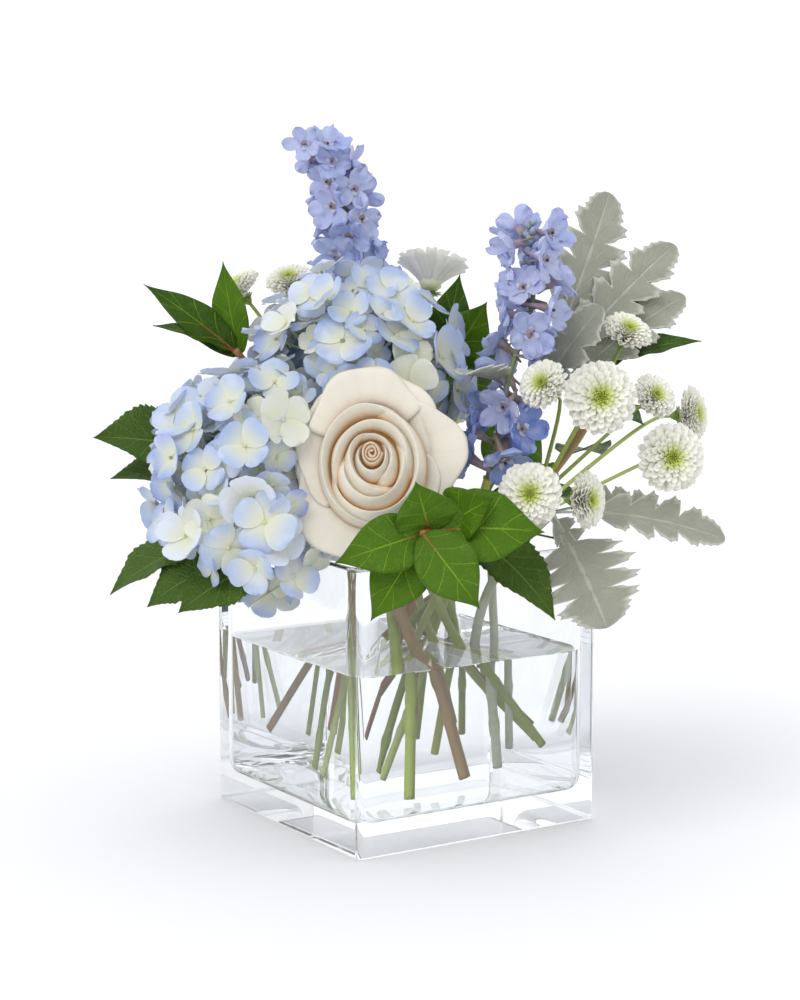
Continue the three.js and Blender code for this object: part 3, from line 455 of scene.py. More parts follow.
def petal_finish(name, glow, glow_part, veins, vein_depth, roughness=0.55, heart=None, heart_reach=(0, 1),
                 blotch=None, relief=0.35):
    """A soft petal: fine veins that run to its edge, a heart of another colour, and blotches; the rose's
    heart is partly painted crease shade.
    """
    finish = Finish(name)
    across, along, chance = finish.marks()
    base = finish.tint()
    # On the rose this heart is partly its own peach and partly painted shade that deepens into each crease.
    if heart is not None:
        base = finish.mix(heart, base, along.between(*heart_reach))
    if blotch is not None:
        patches = finish.noise(90, 2).between(0.5, 0.72)
        base = finish.mix(base, blotch, patches * 0.55)
    ridges = abs((across * veins + chance * 3).fraction() - 0.5) * 2
    base = finish.mix(base, (0.5, 0.55, 0.7), (1 - ridges) ** 3 * vein_depth, "MULTIPLY")
    wrinkles = finish.noise(420, 3)
    normal = finish.bump(ridges * 0.5 + wrinkles, relief, 0.6 * MM)
    inputs = {"Base Color": base, "Roughness": roughness, "Normal": normal, "Specular IOR Level": 0.3}
    return finish.surface(inputs, glow, glow_part)


def leaf_finish(name, vein, vein_pairs, slope, net, roughness, glow, depth):
    """A veined leaf: midrib, side veins that run forward from it, and a net between them."""
    finish = Finish(name)
    across, along, chance = finish.marks()
    out = abs(across)
    midrib = out.between(0.05, 0.015)
    course = (along * vein_pairs - out * slope + out * out * (slope * 0.35)).fraction()
    side = abs(course - 0.5).between(0.45, 0.495) * out.between(1.02, 0.8)
    spots = finish.node("ShaderNodeCombineXYZ", {}, {0: across * 4, 1: along * 12, 2: chance})
    settings = {"feature": "DISTANCE_TO_EDGE"}
    cells = finish.node("ShaderNodeTexVoronoi", settings, {"Vector": spots, "Scale": net})
    mesh = cells.between(0.1, 0.02)
    shade = finish.noise(60, 3)
    base = finish.mix(finish.tint(), (0.55, 0.6, 0.4), shade * 0.7, "MULTIPLY")
    lines = (midrib + side * 0.8 + mesh * 0.3).between(0.0, 1.0)
    base = finish.mix(base, vein, lines * 0.55)
    height = cells.between(0.0, 0.3) * 0.35 - midrib - side * 0.8
    normal = finish.bump(height, 0.7, depth * MM)
    sheen = shade * 0.16 + roughness
    inputs = {"Base Color": base, "Roughness": sheen, "Normal": normal, "Specular IOR Level": 0.12}
    return finish.surface(inputs, glow, 0.12)


def felt_finish(name, edge):
    """A leaf of white felt: pale along its edges and ribs, dull, and soft to the light."""
    finish = Finish(name)
    across, along, _ = finish.marks()
    out = abs(across)
    fibres = finish.noise(1400, 4)
    clouds = finish.noise(120, 3)
    rim = out.between(0.72, 1.0)
    rib = out.between(0.09, 0.02)
    side = abs((along * 6 - out * 1.6).fraction() - 0.5).between(0.42, 0.5) * 0.6
    base = finish.mix(finish.tint(), (0.55, 0.58, 0.52), clouds * 0.75, "MULTIPLY")
    base = finish.mix(base, edge, rim * 0.8 + (rib + side) * 0.4)
    normal = finish.bump(fibres + clouds * 2 - (rib + side) * 1.5, 0.6, 0.7 * MM)
    inputs = {"Base Color": base, "Roughness": 0.95, "Normal": normal, "Specular IOR Level": 0.1}
    return finish.surface({**inputs, "Sheen Weight": 0.35}, edge, 0.12)


def bark_finish(name):
    """A fresh stem: its own colour, with darker and rougher spots."""
    finish = Finish(name)
    spots = finish.noise(260, 4)
    base = finish.mix(finish.tint(), (0.68, 0.7, 0.5), spots * 0.8, "MULTIPLY")
    normal = finish.bump(spots, 0.5, 0.8 * MM)
    return finish.surface({"Base Color": base, "Roughness": 0.5, "Normal": normal})


MATERIALS = {}


def material(name):
    """One of the bunch's finishes, made the first time that it is asked for."""
    if name not in MATERIALS:
        look = bpy.context.scene.bunch
        MATERIALS[name] = {
            "glass": lambda: clear_finish("glass", look.vase.glass, 1.45),
            "water": lambda: clear_finish("water", look.vase.water, 1.33),
            "hydrangea": lambda: petal_finish(
                "hydrangea_petal", look.hydrangea.white, 0.25, 7, 0.22, heart=look.hydrangea.cream,
                blotch=look.hydrangea.white, relief=0.25, heart_reach=(0.05, 0.75)),
            "rose": lambda: petal_finish(
                "rose_petal", look.rose.ivory, 0.12, 4, 0.06, 0.5, heart=look.rose.peach_and_crease_shade, relief=0.26,
                heart_reach=(0.0, 0.62)),
            "delphinium": lambda: petal_finish(
                "delphinium_petal", look.spike.violet, 0.25, 5, 0.5, blotch=look.spike.violet),
            "mum": lambda: petal_finish("daisy_petal", look.daisy.petal, 0.2, 2, 0.1, 0.6, relief=0.2),
            "salal": lambda: leaf_finish(
                "salal_leaf", SHADES["salal_vein"], 5, 1.5, 2.6, 0.26, SHADES["salal_glow"], 0.7),
            "hydrangea_leaf": lambda: leaf_finish(
                "hydrangea_leaf", SHADES["toothed_vein"], 8, 2.2, 2.2, 0.45, SHADES["toothed_glow"], 1.2),
            "felt": lambda: felt_finish("dusty_miller_felt", look.leaf.silver_edge),
            "bark": lambda: bark_finish("stem_bark"),
        }[name]()
    return MATERIALS[name]


# ---- Growing a mesh ----

CROWD = []  # what has grown so far, for the florets that have to find room
STEP_ON = 0.01  # how far to either side of a place on a course its heading is taken
SEAM = 2e-6  # points nearer to each other than this, in metres, become one


def to_room(points):
    """The bunch's millimetres as the frame's metres."""
    turn = np.array(Matrix.Rotation(BUNCH_TURN, 3, "Z"))
    return np.asarray(points) @ turn.T * MM


def unit(vector):
    vector = np.asarray(vector, float)
    return vector / np.linalg.norm(vector)


def grid_faces(rows, columns):
    """The quads of a sheet whose points run row by row."""
    corner = np.arange(rows * columns).reshape(rows, columns)
    around = [corner[:-1, :-1], corner[:-1, 1:], corner[1:, 1:], corner[1:, :-1]]
    return np.stack(around, axis=-1).reshape(-1, 4)


def lattice(rows, columns, bunch_up=1.0):
    """Along (0 to 1) and across (-1 to 1) a sheet. `bunch_up` over 1 crowds the rows at the end."""
    steps = 1 - (1 - np.linspace(0, 1, rows)) ** bunch_up
    along, across = np.meshgrid(steps, np.linspace(-1, 1, columns), indexing="ij")
    return along.ravel(), across.ravel()


def thicken(points, faces, thickness):
    """A sheet given two faces and a rim."""
    corners = points[faces]
    flat = np.cross(corners[:, 2] - corners[:, 0], corners[:, 3] - corners[:, 1])
    normals = np.zeros_like(points)
    for k in range(4):
        np.add.at(normals, faces[:, k], flat)
    normals /= np.linalg.norm(normals, axis=1, keepdims=True) + 1e-9
    edges = np.concatenate([faces[:, [k, (k + 1) % 4]] for k in range(4)])
    key = np.sort(edges, axis=1) @ (len(points), 1)
    _, first, count = np.unique(key, return_index=True, return_counts=True)
    rim = edges[first[count == 1]]
    under = len(points)
    walls = np.stack([rim[:, 1], rim[:, 0], rim[:, 0] + under, rim[:, 1] + under], axis=1)
    half = normals * thickness / 2
    both = np.concatenate([points + half, points - half])
    return both, np.concatenate([faces, faces[:, ::-1] + under, walls])


def standing(points, place, facing, spin=0.0):
    """Points drawn about +Z, spun, turned to face a way and moved to a place."""
    turn = Vector((0, 0, 1)).rotation_difference(Vector(facing)).to_matrix() @ Matrix.Rotation(spin, 3, "Z")
    return points @ np.array(turn).T + np.asarray(place, float)


class Course:
    """A smooth course through points, measured along its length."""

    STEPS = 24

    def __init__(self, points):
        known = [np.asarray(p, float) for p in points]
        known = [2 * known[0] - known[1], *known, 2 * known[-1] - known[-2]]
        stretches = [self.stretch(known[k:k + 4]) for k in range(len(known) - 3)]
        self.points = np.concatenate([*stretches, known[-2][None]])
        steps = np.linalg.norm(np.diff(self.points, axis=0), axis=1)
        self.length = steps.sum()
        self.parts = np.concatenate([[0], np.cumsum(steps)]) / self.length

    def stretch(self, four):
        """The centripetal curve between the middle two of four points."""
        before, start, end, after = four
        gaps = [max(np.linalg.norm(b - a), 1e-4) ** 0.5 for a, b in zip(four, four[1:])]
        leaving = ((start - before) / gaps[0] - (end - before) / (gaps[0] + gaps[1])) * gaps[1] + end - start
        arriving = ((after - end) / gaps[2] - (after - start) / (gaps[1] + gaps[2])) * gaps[1] + end - start
        t = np.linspace(0, 1, self.STEPS, endpoint=False)[:, None]
        return (start + leaving * t + (3 * (end - start) - 2 * leaving - arriving) * t ** 2
                + (2 * (start - end) + leaving + arriving) * t ** 3)

    def at(self, part):
        return np.stack([np.interp(part, self.parts, self.points[:, k]) for k in range(3)], axis=-1)

    def heading(self, part):
        return unit(self.at(min(1, part + STEP_ON)) - self.at(max(0, part - STEP_ON)))


class Growth:
    """Sheets, tubes and beads gathered into one mesh, in the bunch's millimetres."""

    def __init__(self):
        self.points = []
        self.faces = []
        self.marks = []
        self.tints = []
        self.finishes = []
        self.count = 0

    def add(self, points, faces, marks, tint, finish=0):
        tint = np.asarray(tint, float)
        if tint.ndim == 1:
            tint = np.tile(tint, (len(points), 1))
        self.points.append(points)
        self.faces.append(faces + self.count)
        self.marks.append(marks)
        self.tints.append(tint)
        self.finishes.append(np.full(len(faces), finish))
        self.count += len(points)

    def add_sheet(self, points, rows, columns, tint, chance=0.5, thickness=0.0, finish=0, along=None):
        """A sheet from its points, row by row, marked with how far along and across each lies."""
        steps, across = lattice(rows, columns)
        marks = np.stack([across, steps if along is None else along, np.full(len(points), chance)], axis=1)
        faces = grid_faces(rows, columns)
        if thickness:
            points, faces = thicken(points, faces, thickness)
            marks = np.concatenate([marks, marks])
            tint = np.concatenate([tint, tint]) if np.ndim(tint) > 1 else tint
        self.add(points, faces, marks, tint, finish)

    def add_tube(self, course, radii, tint, sides=8, finish=0, span=(0.0, 1.0), closed=True):
        """A round tube along a course, with its radius at even steps from `span`'s start to its end."""
        radii = np.asarray(radii, float)
        parts = np.linspace(*span, len(radii))
        if closed:
            parts = np.concatenate([parts[:1], parts, parts[-1:]])
            radii = np.concatenate([[0], radii, [0]])
        centres = course.at(parts)
        side = np.cross(course.heading(span[0]), (0.13, 0.2, 0.97))
        rings = []
        turns = np.linspace(0, 2 * np.pi, sides + 1)
        for centre, part, radius in zip(centres, parts, radii):
            ahead = course.heading(part)
            side = unit(side - ahead * (side @ ahead))
            other = np.cross(ahead, side)
            rings.append(centre + radius * (np.cos(turns)[:, None] * side + np.sin(turns)[:, None] * other))
        self.add_sheet(np.concatenate(rings), len(radii), sides + 1, tint, finish=finish)

    def add_bead(self, place, radius, tint, facing=(0, 0, 1), stretch=1.0, rows=6, sides=8):
        """A small round or egg-shaped bead."""
        along, across = lattice(rows, sides + 1)
        rise, turn = np.pi * (along - 0.5), np.pi * (across + 1)
        out = np.cos(rise)
        ball = np.stack([out * np.cos(turn), out * np.sin(turn), np.sin(rise) * stretch], axis=-1)
        self.add_sheet(standing(ball * radius, place, facing), rows, sides + 1, tint)

    def add_growth(self, other, place=(0, 0, 0), facing=(0, 0, 1), spin=0.0):
        """Another growth, drawn about +Z, stood at a place."""
        for points, faces, marks, tint, finish in zip(
                other.points, other.faces, other.marks, other.tints, other.finishes):
            self.points.append(standing(points, place, facing, spin))
            self.faces.append(faces + self.count)
            self.marks.append(marks)
            self.tints.append(tint)
            self.finishes.append(finish)
        self.count += other.count

    def tree(self):
        """The growth's faces, sorted by place, to find what crosses them."""
        points, faces = np.concatenate(self.points), np.concatenate(self.faces)
        return BVHTree.FromPolygons(points.tolist(), faces.tolist())

    def piece(self, name, slot, finishes):
        """The growth as a piece of the scene that stands for its solid."""
        points = to_room(np.concatenate(self.points))
        faces = np.concatenate(self.faces)
        mesh = bpy.data.meshes.new(name)
        mesh.from_pydata(points.tolist(), [], faces.tolist())
        marks = mesh.attributes.new("marks", "FLOAT_VECTOR", "POINT")
        marks.data.foreach_set("vector", np.concatenate(self.marks).astype(np.float32).ravel())
        tint = mesh.attributes.new("tint", "FLOAT_COLOR", "POINT")
        tints = np.column_stack([np.concatenate(self.tints), np.ones(self.count)])
        tint.data.foreach_set("color", tints.astype(np.float32).ravel())
        mesh.polygons.foreach_set("material_index", np.concatenate(self.finishes).astype(np.int32))
        close_seams(mesh)
        for finish in finishes:
            mesh.materials.append(material(finish))
        place_piece(name, mesh)
        CROWD.append(self.tree())


def add_object(name, data):
    """A mesh, lamp or camera as an object of the scene."""
    obj = bpy.data.objects.new(name, data)
    bpy.context.scene.collection.objects.link(obj)
    return obj


def place_piece(name, mesh):
    """A mesh as a piece that stands for the solid of the same name."""
    piece = add_object(name, mesh)
    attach(piece, "root")
    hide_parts(name.removesuffix("_fine"))
    return piece


def close_seams(mesh):
    """Joins the points of tube seams and petal tips that lie on each other, and smooths the mesh."""
    work = bmesh.new()
    work.from_mesh(mesh)
    bmesh.ops.remove_doubles(work, verts=work.verts, dist=SEAM)
    for face in work.faces:
        face.smooth = True
    work.to_mesh(mesh)
    work.free()


def has_room(growth):
    """Whether nothing that has grown so far crosses the growth."""
    tree = growth.tree()
    return not any(tree.overlap(other) for other in CROWD)


# ---- Stems ----

COURSES = {name: Course(points) for name, (_, _, points) in ROUTES.items()}
BARKS = {name: paint(bark) for name, (_, bark, _) in ROUTES.items()}
BARK, LEAF = 0, 1  # the places of a stem's two finishes in its list
JOINTS = 4  # the swollen joints of a stem
JOINT_LENGTH = 2.6
JOINT_SWELL = 0.26  # how much wider a joint is than the stem, as a part of it


def add_stem(growth, name, end=1.0):
    """A stem from its cut foot up, with a few swollen joints and a pale cut."""
    radius, course, bark = ROUTES[name][0], COURSES[name], BARKS[name]
    rng = random.Random(name)
    steps = max(12, int(course.length * end / JOINT_LENGTH))
    joints = [rng.uniform(0.08, 0.95) for _ in range(JOINTS)]
    parts = np.linspace(0, end, steps)
    away = [(parts - joint) * course.length / JOINT_LENGTH for joint in joints]
    swell = sum(JOINT_SWELL * np.exp(-distance ** 2) for distance in away)
    radii = radius * 0.86 * (1 + swell) * (1 - 0.1 * parts)
    growth.add_tube(course, radii, bark, sides=10, span=(0, end))
    foot, ahead = course.at(0), course.heading(0)
    cut = Course([foot - ahead * 0.15, foot + ahead * 0.4])
    growth.add_tube(cut, [radius * 0.7] * 2, blend(bark, SHADES["pith"], 0.7), sides=10)


def node_on(courses, place, drop):
    """The place on a stem that a side shoot leaves from: near, and lower by about `drop`."""
    spots = np.concatenate([course.at(np.linspace(0, 1, 61)) for course in courses])
    cost = np.linalg.norm(spots - place, axis=1) + 2 * np.maximum(0, spots[:, 2] + drop - place[2])
    return spots[cost.argmin()]


def add_twig(growth, points, tint, radius=TWIG, finish=BARK):
    """A side shoot, which thins a little to its end."""
    course = Course(points)
    steps = max(4, int(course.length / 4))
    growth.add_tube(course, np.linspace(radius, radius * 0.8, steps), tint, 6, finish)


def add_neck(growth, name, seat, radii, tint):
    """The last of a stem, from just under its end to the flower's seat."""
    course = COURSES[name]
    growth.add_tube(Course([course.at(0.97), course.at(1), seat]), radii, tint, 9)


# ---- Leaves ----

def salal_outline(along):
    """Half width of an egg-shaped leaf with a drawn-out tip."""
    return np.sin(np.pi * along ** 0.8) ** (0.7 + 0.7 * along)


def toothed_outline(along):
    """An oval with small teeth that point forward."""
    tooth = (along * 17) % 1
    return np.sin(np.pi * along ** 0.8) ** (0.85 + 0.3 * along) * (0.93 + 0.1 * tooth)


def cut_outline(lobes):
    """Half width of a leaf cut into lobes, whose edges are cut again into small rounded teeth."""
    def outline(along):
        place = (along - 0.12) / 0.7 * lobes
        lobe = np.clip(place, 0, lobes - 0.001)
        part = lobe % 1
        size = np.sin(np.pi * (0.26 + 0.5 * (np.floor(lobe) + 0.5) / lobes))
        wide = size * (0.4 + 0.6 * np.sin(np.pi * part ** 1.25) ** 0.6)
        last = 0.6 * np.clip(1 - ((along - 0.8) / 0.2) ** 2, 0, 1) ** 0.6
        whole = np.maximum(np.where(place < lobes, wide, 0), np.where(along > 0.76, last, 0))
        teeth = 1 - 0.14 * np.abs(np.sin(np.pi * along * lobes * 4.5)) ** 0.8
        return np.where(place < 0, 0.1 + 0.2 * along, whole * teeth)
    return outline


# Each kind of leaf: its outline, its sheet's rows and columns, how far its edge runs forward, its thickness.
LEAF_KINDS = {
    "salal": (salal_outline, (26, 9), 0.0, 0.45),
    "dark_salal": (salal_outline, (26, 9), 0.0, 0.45),
    "hydrangea": (toothed_outline, (69, 9), 0.05, 0.4),
    "dusty": (cut_outline(4), (131, 11), 0.3, 0.6),
    "small_dusty": (cut_outline(3), (101, 11), 0.3, 0.6),
}
FOLD = 0.22  # how steeply a blade rises to both sides of its midrib
RIB_ROWS = 12


def bent_sheet(along, out, root, tip, facing, width, bend, ripple=0.0, phase=0.0):
    """Points of a leaf that arches from its root to its tip and folds at its midrib."""
    span = tip - root
    length = np.linalg.norm(span) * bend / (2 * math.sin(bend / 2))
    angle = bend * along
    x = out * width / 2
    lift = np.abs(x) * FOLD + ripple * np.sin(along * 21 + phase + 2 * np.sign(out)) * out ** 2
    y = length * np.sin(angle) / bend + lift * np.sin(angle)
    z = -length * (1 - np.cos(angle)) / bend + lift * np.cos(angle)
    ahead = unit(span)
    across = unit(np.cross(ahead, facing))
    up = np.cross(across, ahead)
    points = np.stack([x, y, z], axis=1) @ np.array(Matrix.Rotation(bend / 2, 3, "X")).T
    return root + points @ np.stack([across, ahead, up])


def add_leaf(growth, stems, leaf, tint, stalk, stalk_finish, chance):
    """A leaf on its stalk, from the stem to the tip."""
    kind, blade_at, tip_at, *bearing = leaf
    facing, width, _ = bearing
    outline, shape, sweep, thickness = LEAF_KINDS[kind]
    blade_at, tip_at = np.asarray(blade_at, float), np.asarray(tip_at, float)
    root = node_on(stems, blade_at, 2)
    bare = np.linalg.norm(root - blade_at)
    part = bare / (bare + np.linalg.norm(tip_at - blade_at)) if bare >= 4 else 0.0
    along, across = lattice(*shape)
    out = outline(along) * across
    swept = np.clip(along + sweep * np.abs(out) * (0.5 - 0.5 * along), 0, 1)
    whole = part + (1 - part) * swept
    points = bent_sheet(whole, out, root, tip_at, *bearing, ripple=0.035 * width, phase=6 * chance)
    growth.add_sheet(points, *shape, blend(tint, WHITE, 0.012 * chance), chance, thickness, LEAF)
    rib_parts = np.linspace(0, part + (1 - part) * 0.55, RIB_ROWS)
    rib = bent_sheet(rib_parts, 0 * rib_parts, root, tip_at, *bearing) - 0.25 * unit(facing)
    growth.add_tube(Course(rib), np.linspace(0.75, 0.3, RIB_ROWS), stalk, 6, stalk_finish)


def add_leaves(growth, name, tints, stalk, shoot, finish=BARK):
    """The leaves of one stem on their stalks, and the side shoots that carry some of them."""
    stems = [COURSES[name]]
    for points in SHOOTS.get(name, []):
        stems.append(Course(points))
        add_twig(growth, points, shoot, finish=finish)
    rng = random.Random(name + " leaves")
    for leaf in LEAVES[name]:
        add_leaf(growth, stems, leaf, tints[leaf[0]], stalk, finish, rng.random())


def grow_green(name, tints, stalk, slot, blade, finish=BARK):
    """One cut green: its stem, its leaves and their stalks."""
    made = Growth()
    add_stem(made, name)
    add_leaves(made, name, tints, stalk, stalk, finish)
    made.piece(name + "_fine", slot, ["bark", blade])


# ---- Hydrangea heads ----

FLORET_GRID = (8, 7)
FLORET_RADIUS = 12.2
LOWER_PART = 0.85  # of the upper head's number of florets, for the lower head
DEPTHS = (0, 4.2, 1.8, 7.5)  # how far under the head's reach its florets lie, one after another
HANG_WAY = np.array((0.14, -0.74, -0.66))  # where the lower head's longest stalks let their florets hang
# The tries to give a floret room: its part of the full size, and how much deeper it sits.
DRAFTS = ((1, 0), (0.95, 1.5), (0.9, -1.5), (0.85, 3), (0.75, 1), (0.75, 5), (0.62, 7))


def petal_width(along):
    """Half width of a broad petal with a narrow foot and a rounded end."""
    return along ** 0.6 * np.sqrt(1 - along ** 2.6) / 0.63


def sepal(length, width, cup, curl, wave, phase, rows, columns):
    """A broad petal that points along +Y with its face up."""
    along, across = lattice(rows, columns, 1.5)
    x = across * width / 2 * petal_width(along)
    y = length * along
    z = cup * along ** 2 - curl * across ** 2 * along + wave * np.sin(5 * across + phase) * along ** 2
    z -= 0.35 * cup * along ** 5
    return np.stack([x, y, z], axis=1)


def spun(points, angle):
    """Points turned about +Z."""
    return points @ np.array(Matrix.Rotation(angle, 3, "Z")).T


def add_calyx(growth, petal, grid, count, place, facing, tint):
    """A ring of equal small leaves under a bloom."""
    for k in range(count):
        turned = spun(petal, k * 2 * math.pi / count)
        growth.add_sheet(standing(turned, place, facing), *grid, tint)


def floret(rng, radius, look, stalk):
    """One hydrangea floret about +Z: four broad petals, a bead in the middle and the stalk behind it."""
    made = Growth()
    tint, heart = pick_floret_tint(rng, look)
    cup = rng.choice((0.1, 0.2, 0.35, 0.6))
    for k in range(4):
        length = radius * rng.uniform(0.9, 1.05)
        petal = sepal(length, length * rng.uniform(1.0, 1.25), radius * (cup + rng.uniform(-0.05, 0.05)),
                      radius * rng.uniform(-0.12, 0.16), radius * 0.03, rng.uniform(0, 6), *FLORET_GRID)
        petal[:, 2] += (k % 2) * (0.4 + 0.12 * petal[:, 1])  # every other petal lies over its neighbours
        angle = k * math.pi / 2 + rng.uniform(-0.14, 0.14)
        shade = blend(tint, WHITE, rng.uniform(0, 0.2))
        made.add_sheet(spun(petal, angle), *FLORET_GRID, shade, rng.random())
    made.add_bead((0, 0, 0.7), radius * 0.085, heart, stretch=0.8)
    course = Course([(0, 0, -stalk), (0.4, 0.3, -stalk / 2), (0, 0, 0)])
    made.add_tube(course, [0.55, 0.5, 0.6], SHADES["floret_stalk"], 5, closed=False)
    return made


def pick_floret_tint(rng, look):
    """The colours of a floret's petals and bead: most are pale blue, some white, cream or periwinkle."""
    chance = rng.random()
    if chance < 0.16:
        return blend(look.deep, look.pale, rng.random() * 0.6), SHADES["green_bead"]
    if chance < 0.3:
        return blend(look.cream, look.white, rng.random() * 0.7), SHADES["lime_bead"]
    if chance < 0.5:
        return blend(look.white, look.pale, rng.random() * 0.6), SHADES["pale_bead"]
    return blend(look.pale, look.deep, rng.random() * 0.45), look.heart


def spread(count):
    """Evenly spread directions over a sphere, from the top down."""
    k = np.arange(count)
    z = 1 - 2 * (k + 0.5) / count
    turn = math.pi * (3 - math.sqrt(5)) * k
    out = np.sqrt(1 - z * z)
    return np.stack([out * np.cos(turn), out * np.sin(turn), z], axis=1)


def grow_head(side, look, count):
    """A round head: florets at several depths round a shadowed middle."""
    head = HEADS[f"hydrangea_head_{side}"]
    rng = random.Random(head["seed"])
    centre = np.asarray(head["centre"], float)
    stem_end = ROUTES[f"hydrangea_stem_{side}"][2][-1]
    to_stem = unit(np.asarray(stem_end) - centre)
    made = Growth()
    made.add_bead(centre, head["core"] - 4, SHADES["head_shadow"], rows=12, sides=16)
    mates = []
    hanging = []
    if head["hang"]:
        hanging = [way for way in spread(count * 4 // 5) if way @ HANG_WAY > 0.5 and way[2] < -0.4]
    for k, direction in enumerate([*spread(count), *hanging]):
        lean = np.array([rng.uniform(-0.42, 0.42) for _ in range(3)])
        facing = unit(direction + lean + (0, 0, 0.6 * (direction[2] < -0.35)))
        size = FLORET_RADIUS * rng.uniform(0.86, 1.14)
        hang = max(0.0, float(direction @ HANG_WAY)) ** 2 * min(1.0, max(0.0, -2 * float(direction[2])))
        depth = head["reach"] * (1 + head["hang"] * hang) - DEPTHS[k % 4] + rng.uniform(-1, 1)
        spin = rng.uniform(0, math.pi)
        seed = rng.random()
        if direction @ to_stem > 0.8:
            continue
        best = None
        for scale, sink in DRAFTS:
            stalk = max(3.0, depth - sink - head["core"] + 6)
            one = Growth()
            place = centre + direction * (depth - sink)
            one.add_growth(floret(random.Random(seed), size * scale, look, stalk), place, facing, spin)
            if not has_room(one):
                continue
            tree = one.tree()
            crossed = sum(bool(other.overlap(tree)) for spot, other in mates
                          if np.linalg.norm(spot - place) < 2.2 * FLORET_RADIUS)
            if best is None or crossed < best[0]:
                best = (crossed, one, place, tree)
            if crossed == 0:
                break
        if best is not None:
            made.add_growth(best[1])
            mates.append(best[2:])
    made.piece(f"hydrangea_head_{side}_fine", "hydrangea", ["hydrangea"])


def grow_hydrangea_stem(side, look):
    """A hydrangea's stem with its leaves on short shoots, and the neck under its head."""
    name = f"hydrangea_stem_{side}"
    head = HEADS[f"hydrangea_head_{side}"]
    made = Growth()
    add_stem(made, name)
    centre = np.asarray(head["centre"], float)
    away = unit(COURSES[name].at(1) - centre)
    green = SHADES["hydrangea_stalk"]
    add_neck(made, name, centre + away * (head["core"] + 0.3), [2.7] * 5, green)
    add_leaves(made, name, {"hydrangea": look.leaf}, green, green)
    made.piece(name + "_fine", "hydrangea_green", ["bark", "hydrangea_leaf"])


# ---- Rose ----

HEART_GRID = (9, 150)
CORE_GRID = (15, 25)
CLOSED_GRID = (19, 41)
OPEN_GRID = (25, 33)
ROSE_CALYX_GRID = (7, 4)
ROSE_HEART = 4.6  # radius of the tight spiral
# The closed petals, from the inside: the radius and height of the lip, the way the petal faces in degrees,
# and how far round it reaches to either side, in radians.
ROSE_CLOSED = (
    (6.2, 27.6, 265, 2.9),
    (8.8, 28.4, 30, 2.2),
    (10.2, 28.8, 190, 2.2),
    (14.2, 29.4, 290, 2.3),
    (15.8, 30.0, 80, 2.4),
    (20.2, 29.8, 330, 2.5),
    (22.8, 28.6, 165, 2.6),
)
ROSE_SHOULDER = 27.0  # where the outermost lips meet the open petals
# The open outer petals: the way each points in degrees, its reach, how sharp its tip is, and its height.
ROSE_OUTER = (
    (232, 45, 0.4, 20.5),
    (0, 43, 0.5, 19.5),
    (98, 35.5, 0.16, 21.5),
    (47, 35, 0.24, 18.5),
    (162, 35.5, 0.2, 19.5),
    (300, 37, 0.3, 18.5),
    (196, 36, 0.2, 18),
)


def oval(radius, angle, height):
    """Points of the rose, whose cups are taller than wide and hang below its heart."""
    hang = 3.2 * np.clip((radius - ROSE_HEART) / 9, 0, 1)
    return np.stack([radius * np.cos(angle) * 0.95, radius * np.sin(angle) * 1.1 - hang, height], axis=1)


def rolled(part, soft):
    """How far a surface has dropped from a lip of some softness, from 0 at the lip to 1 at the crease."""
    return (np.sqrt(part ** 2 + soft ** 2) - soft) / (math.sqrt(1 + soft ** 2) - soft)


def crease(angle, inner, outer):
    """Where two lips' slopes meet: nearer the inner lip above the heart and the outer one below it."""
    return inner + (outer - inner) * (0.5 - 0.42 * np.sin(angle))


def closed_petal(lip, height, turn, reach, inner, outer, rng):
    """A petal of the closed middle: it rises to a thin lip and falls away into the next crease.

    At one end its lip runs down into the inner crease, and at the other into the outer one.
    """
    along, across = lattice(*CLOSED_GRID)
    side = 2 * along - 1
    away = np.abs(side) ** 1.5
    angle = turn + across * reach
    end = np.clip((np.abs(across) - 0.4) / 0.6, 0, 1)
    end = end * end * (3 - 2 * end)
    edge = lip * (1 + 0.035 * np.sin(2.3 * across + rng.uniform(0, 6)) + 0.012 * np.sin(7 * across + lip))
    inside, outside = crease(angle, inner, edge), crease(angle, edge, outer)
    low = height - 4.8 - 0.14 * lip
    high = height + rng.uniform(-0.4, 0.4) + 0.4 * np.sin(3.4 * across + lip)
    edge = edge + (np.where(across < 0, inside, outside) - edge) * end * 0.8
    high = high + (low - 2.0 - high) * end ** 1.6
    foot = np.where(side < 0, inside, outside)
    foot = edge + (foot - edge) * (1 - 0.85 * end ** 2)
    fall = 0.3 * rolled(away, 0.06) + 0.7 * away ** 1.7
    # The second value is how near the lip each point lies: the rose's peach, partly painted shade, gathers
    # towards the crease.
    return oval(edge + (foot - edge) * away, angle, high + np.minimum(low - high, -0.2) * fall), 1 - fall


def open_petal(turn, reach, sharp, height, rng):
    """A petal of the outer row: broad, spread wide, with a ruffled edge that turns back at a pointed tip."""
    along, across = lattice(*OPEN_GRID)
    frill = 0.025 * np.sin(9 * across + rng.uniform(0, 6)) * along ** 3
    rise = along * (1 - sharp * np.abs(across) ** 1.4 + frill)
    section = Course([
        (5, 2, 0), (reach * 0.42, 10, 0), (reach * 0.62, height - 1.4, 0),
        (reach * 0.84, height, 0), (reach * 0.95, height + 0.2, 0), (reach, height - 0.9, 0)])
    edge = section.at(np.clip(rise, 0, 1))
    ripple = np.sin(3.1 * across + rng.uniform(0, 6)) + 0.6 * np.sin(10 * across + rng.uniform(0, 6))
    lift = ripple * rise ** 4 * 1.3 + across * 1.2 * rise - 1.2 * across ** 2 * rise ** 3
    angle = turn + across * 1.05 * (0.7 + 0.3 * np.sin(np.pi * np.minimum(rise, 0.75) / 1.5))
    return oval(edge[:, 0], angle, edge[:, 1] + lift) + (0, 2.4, 0)


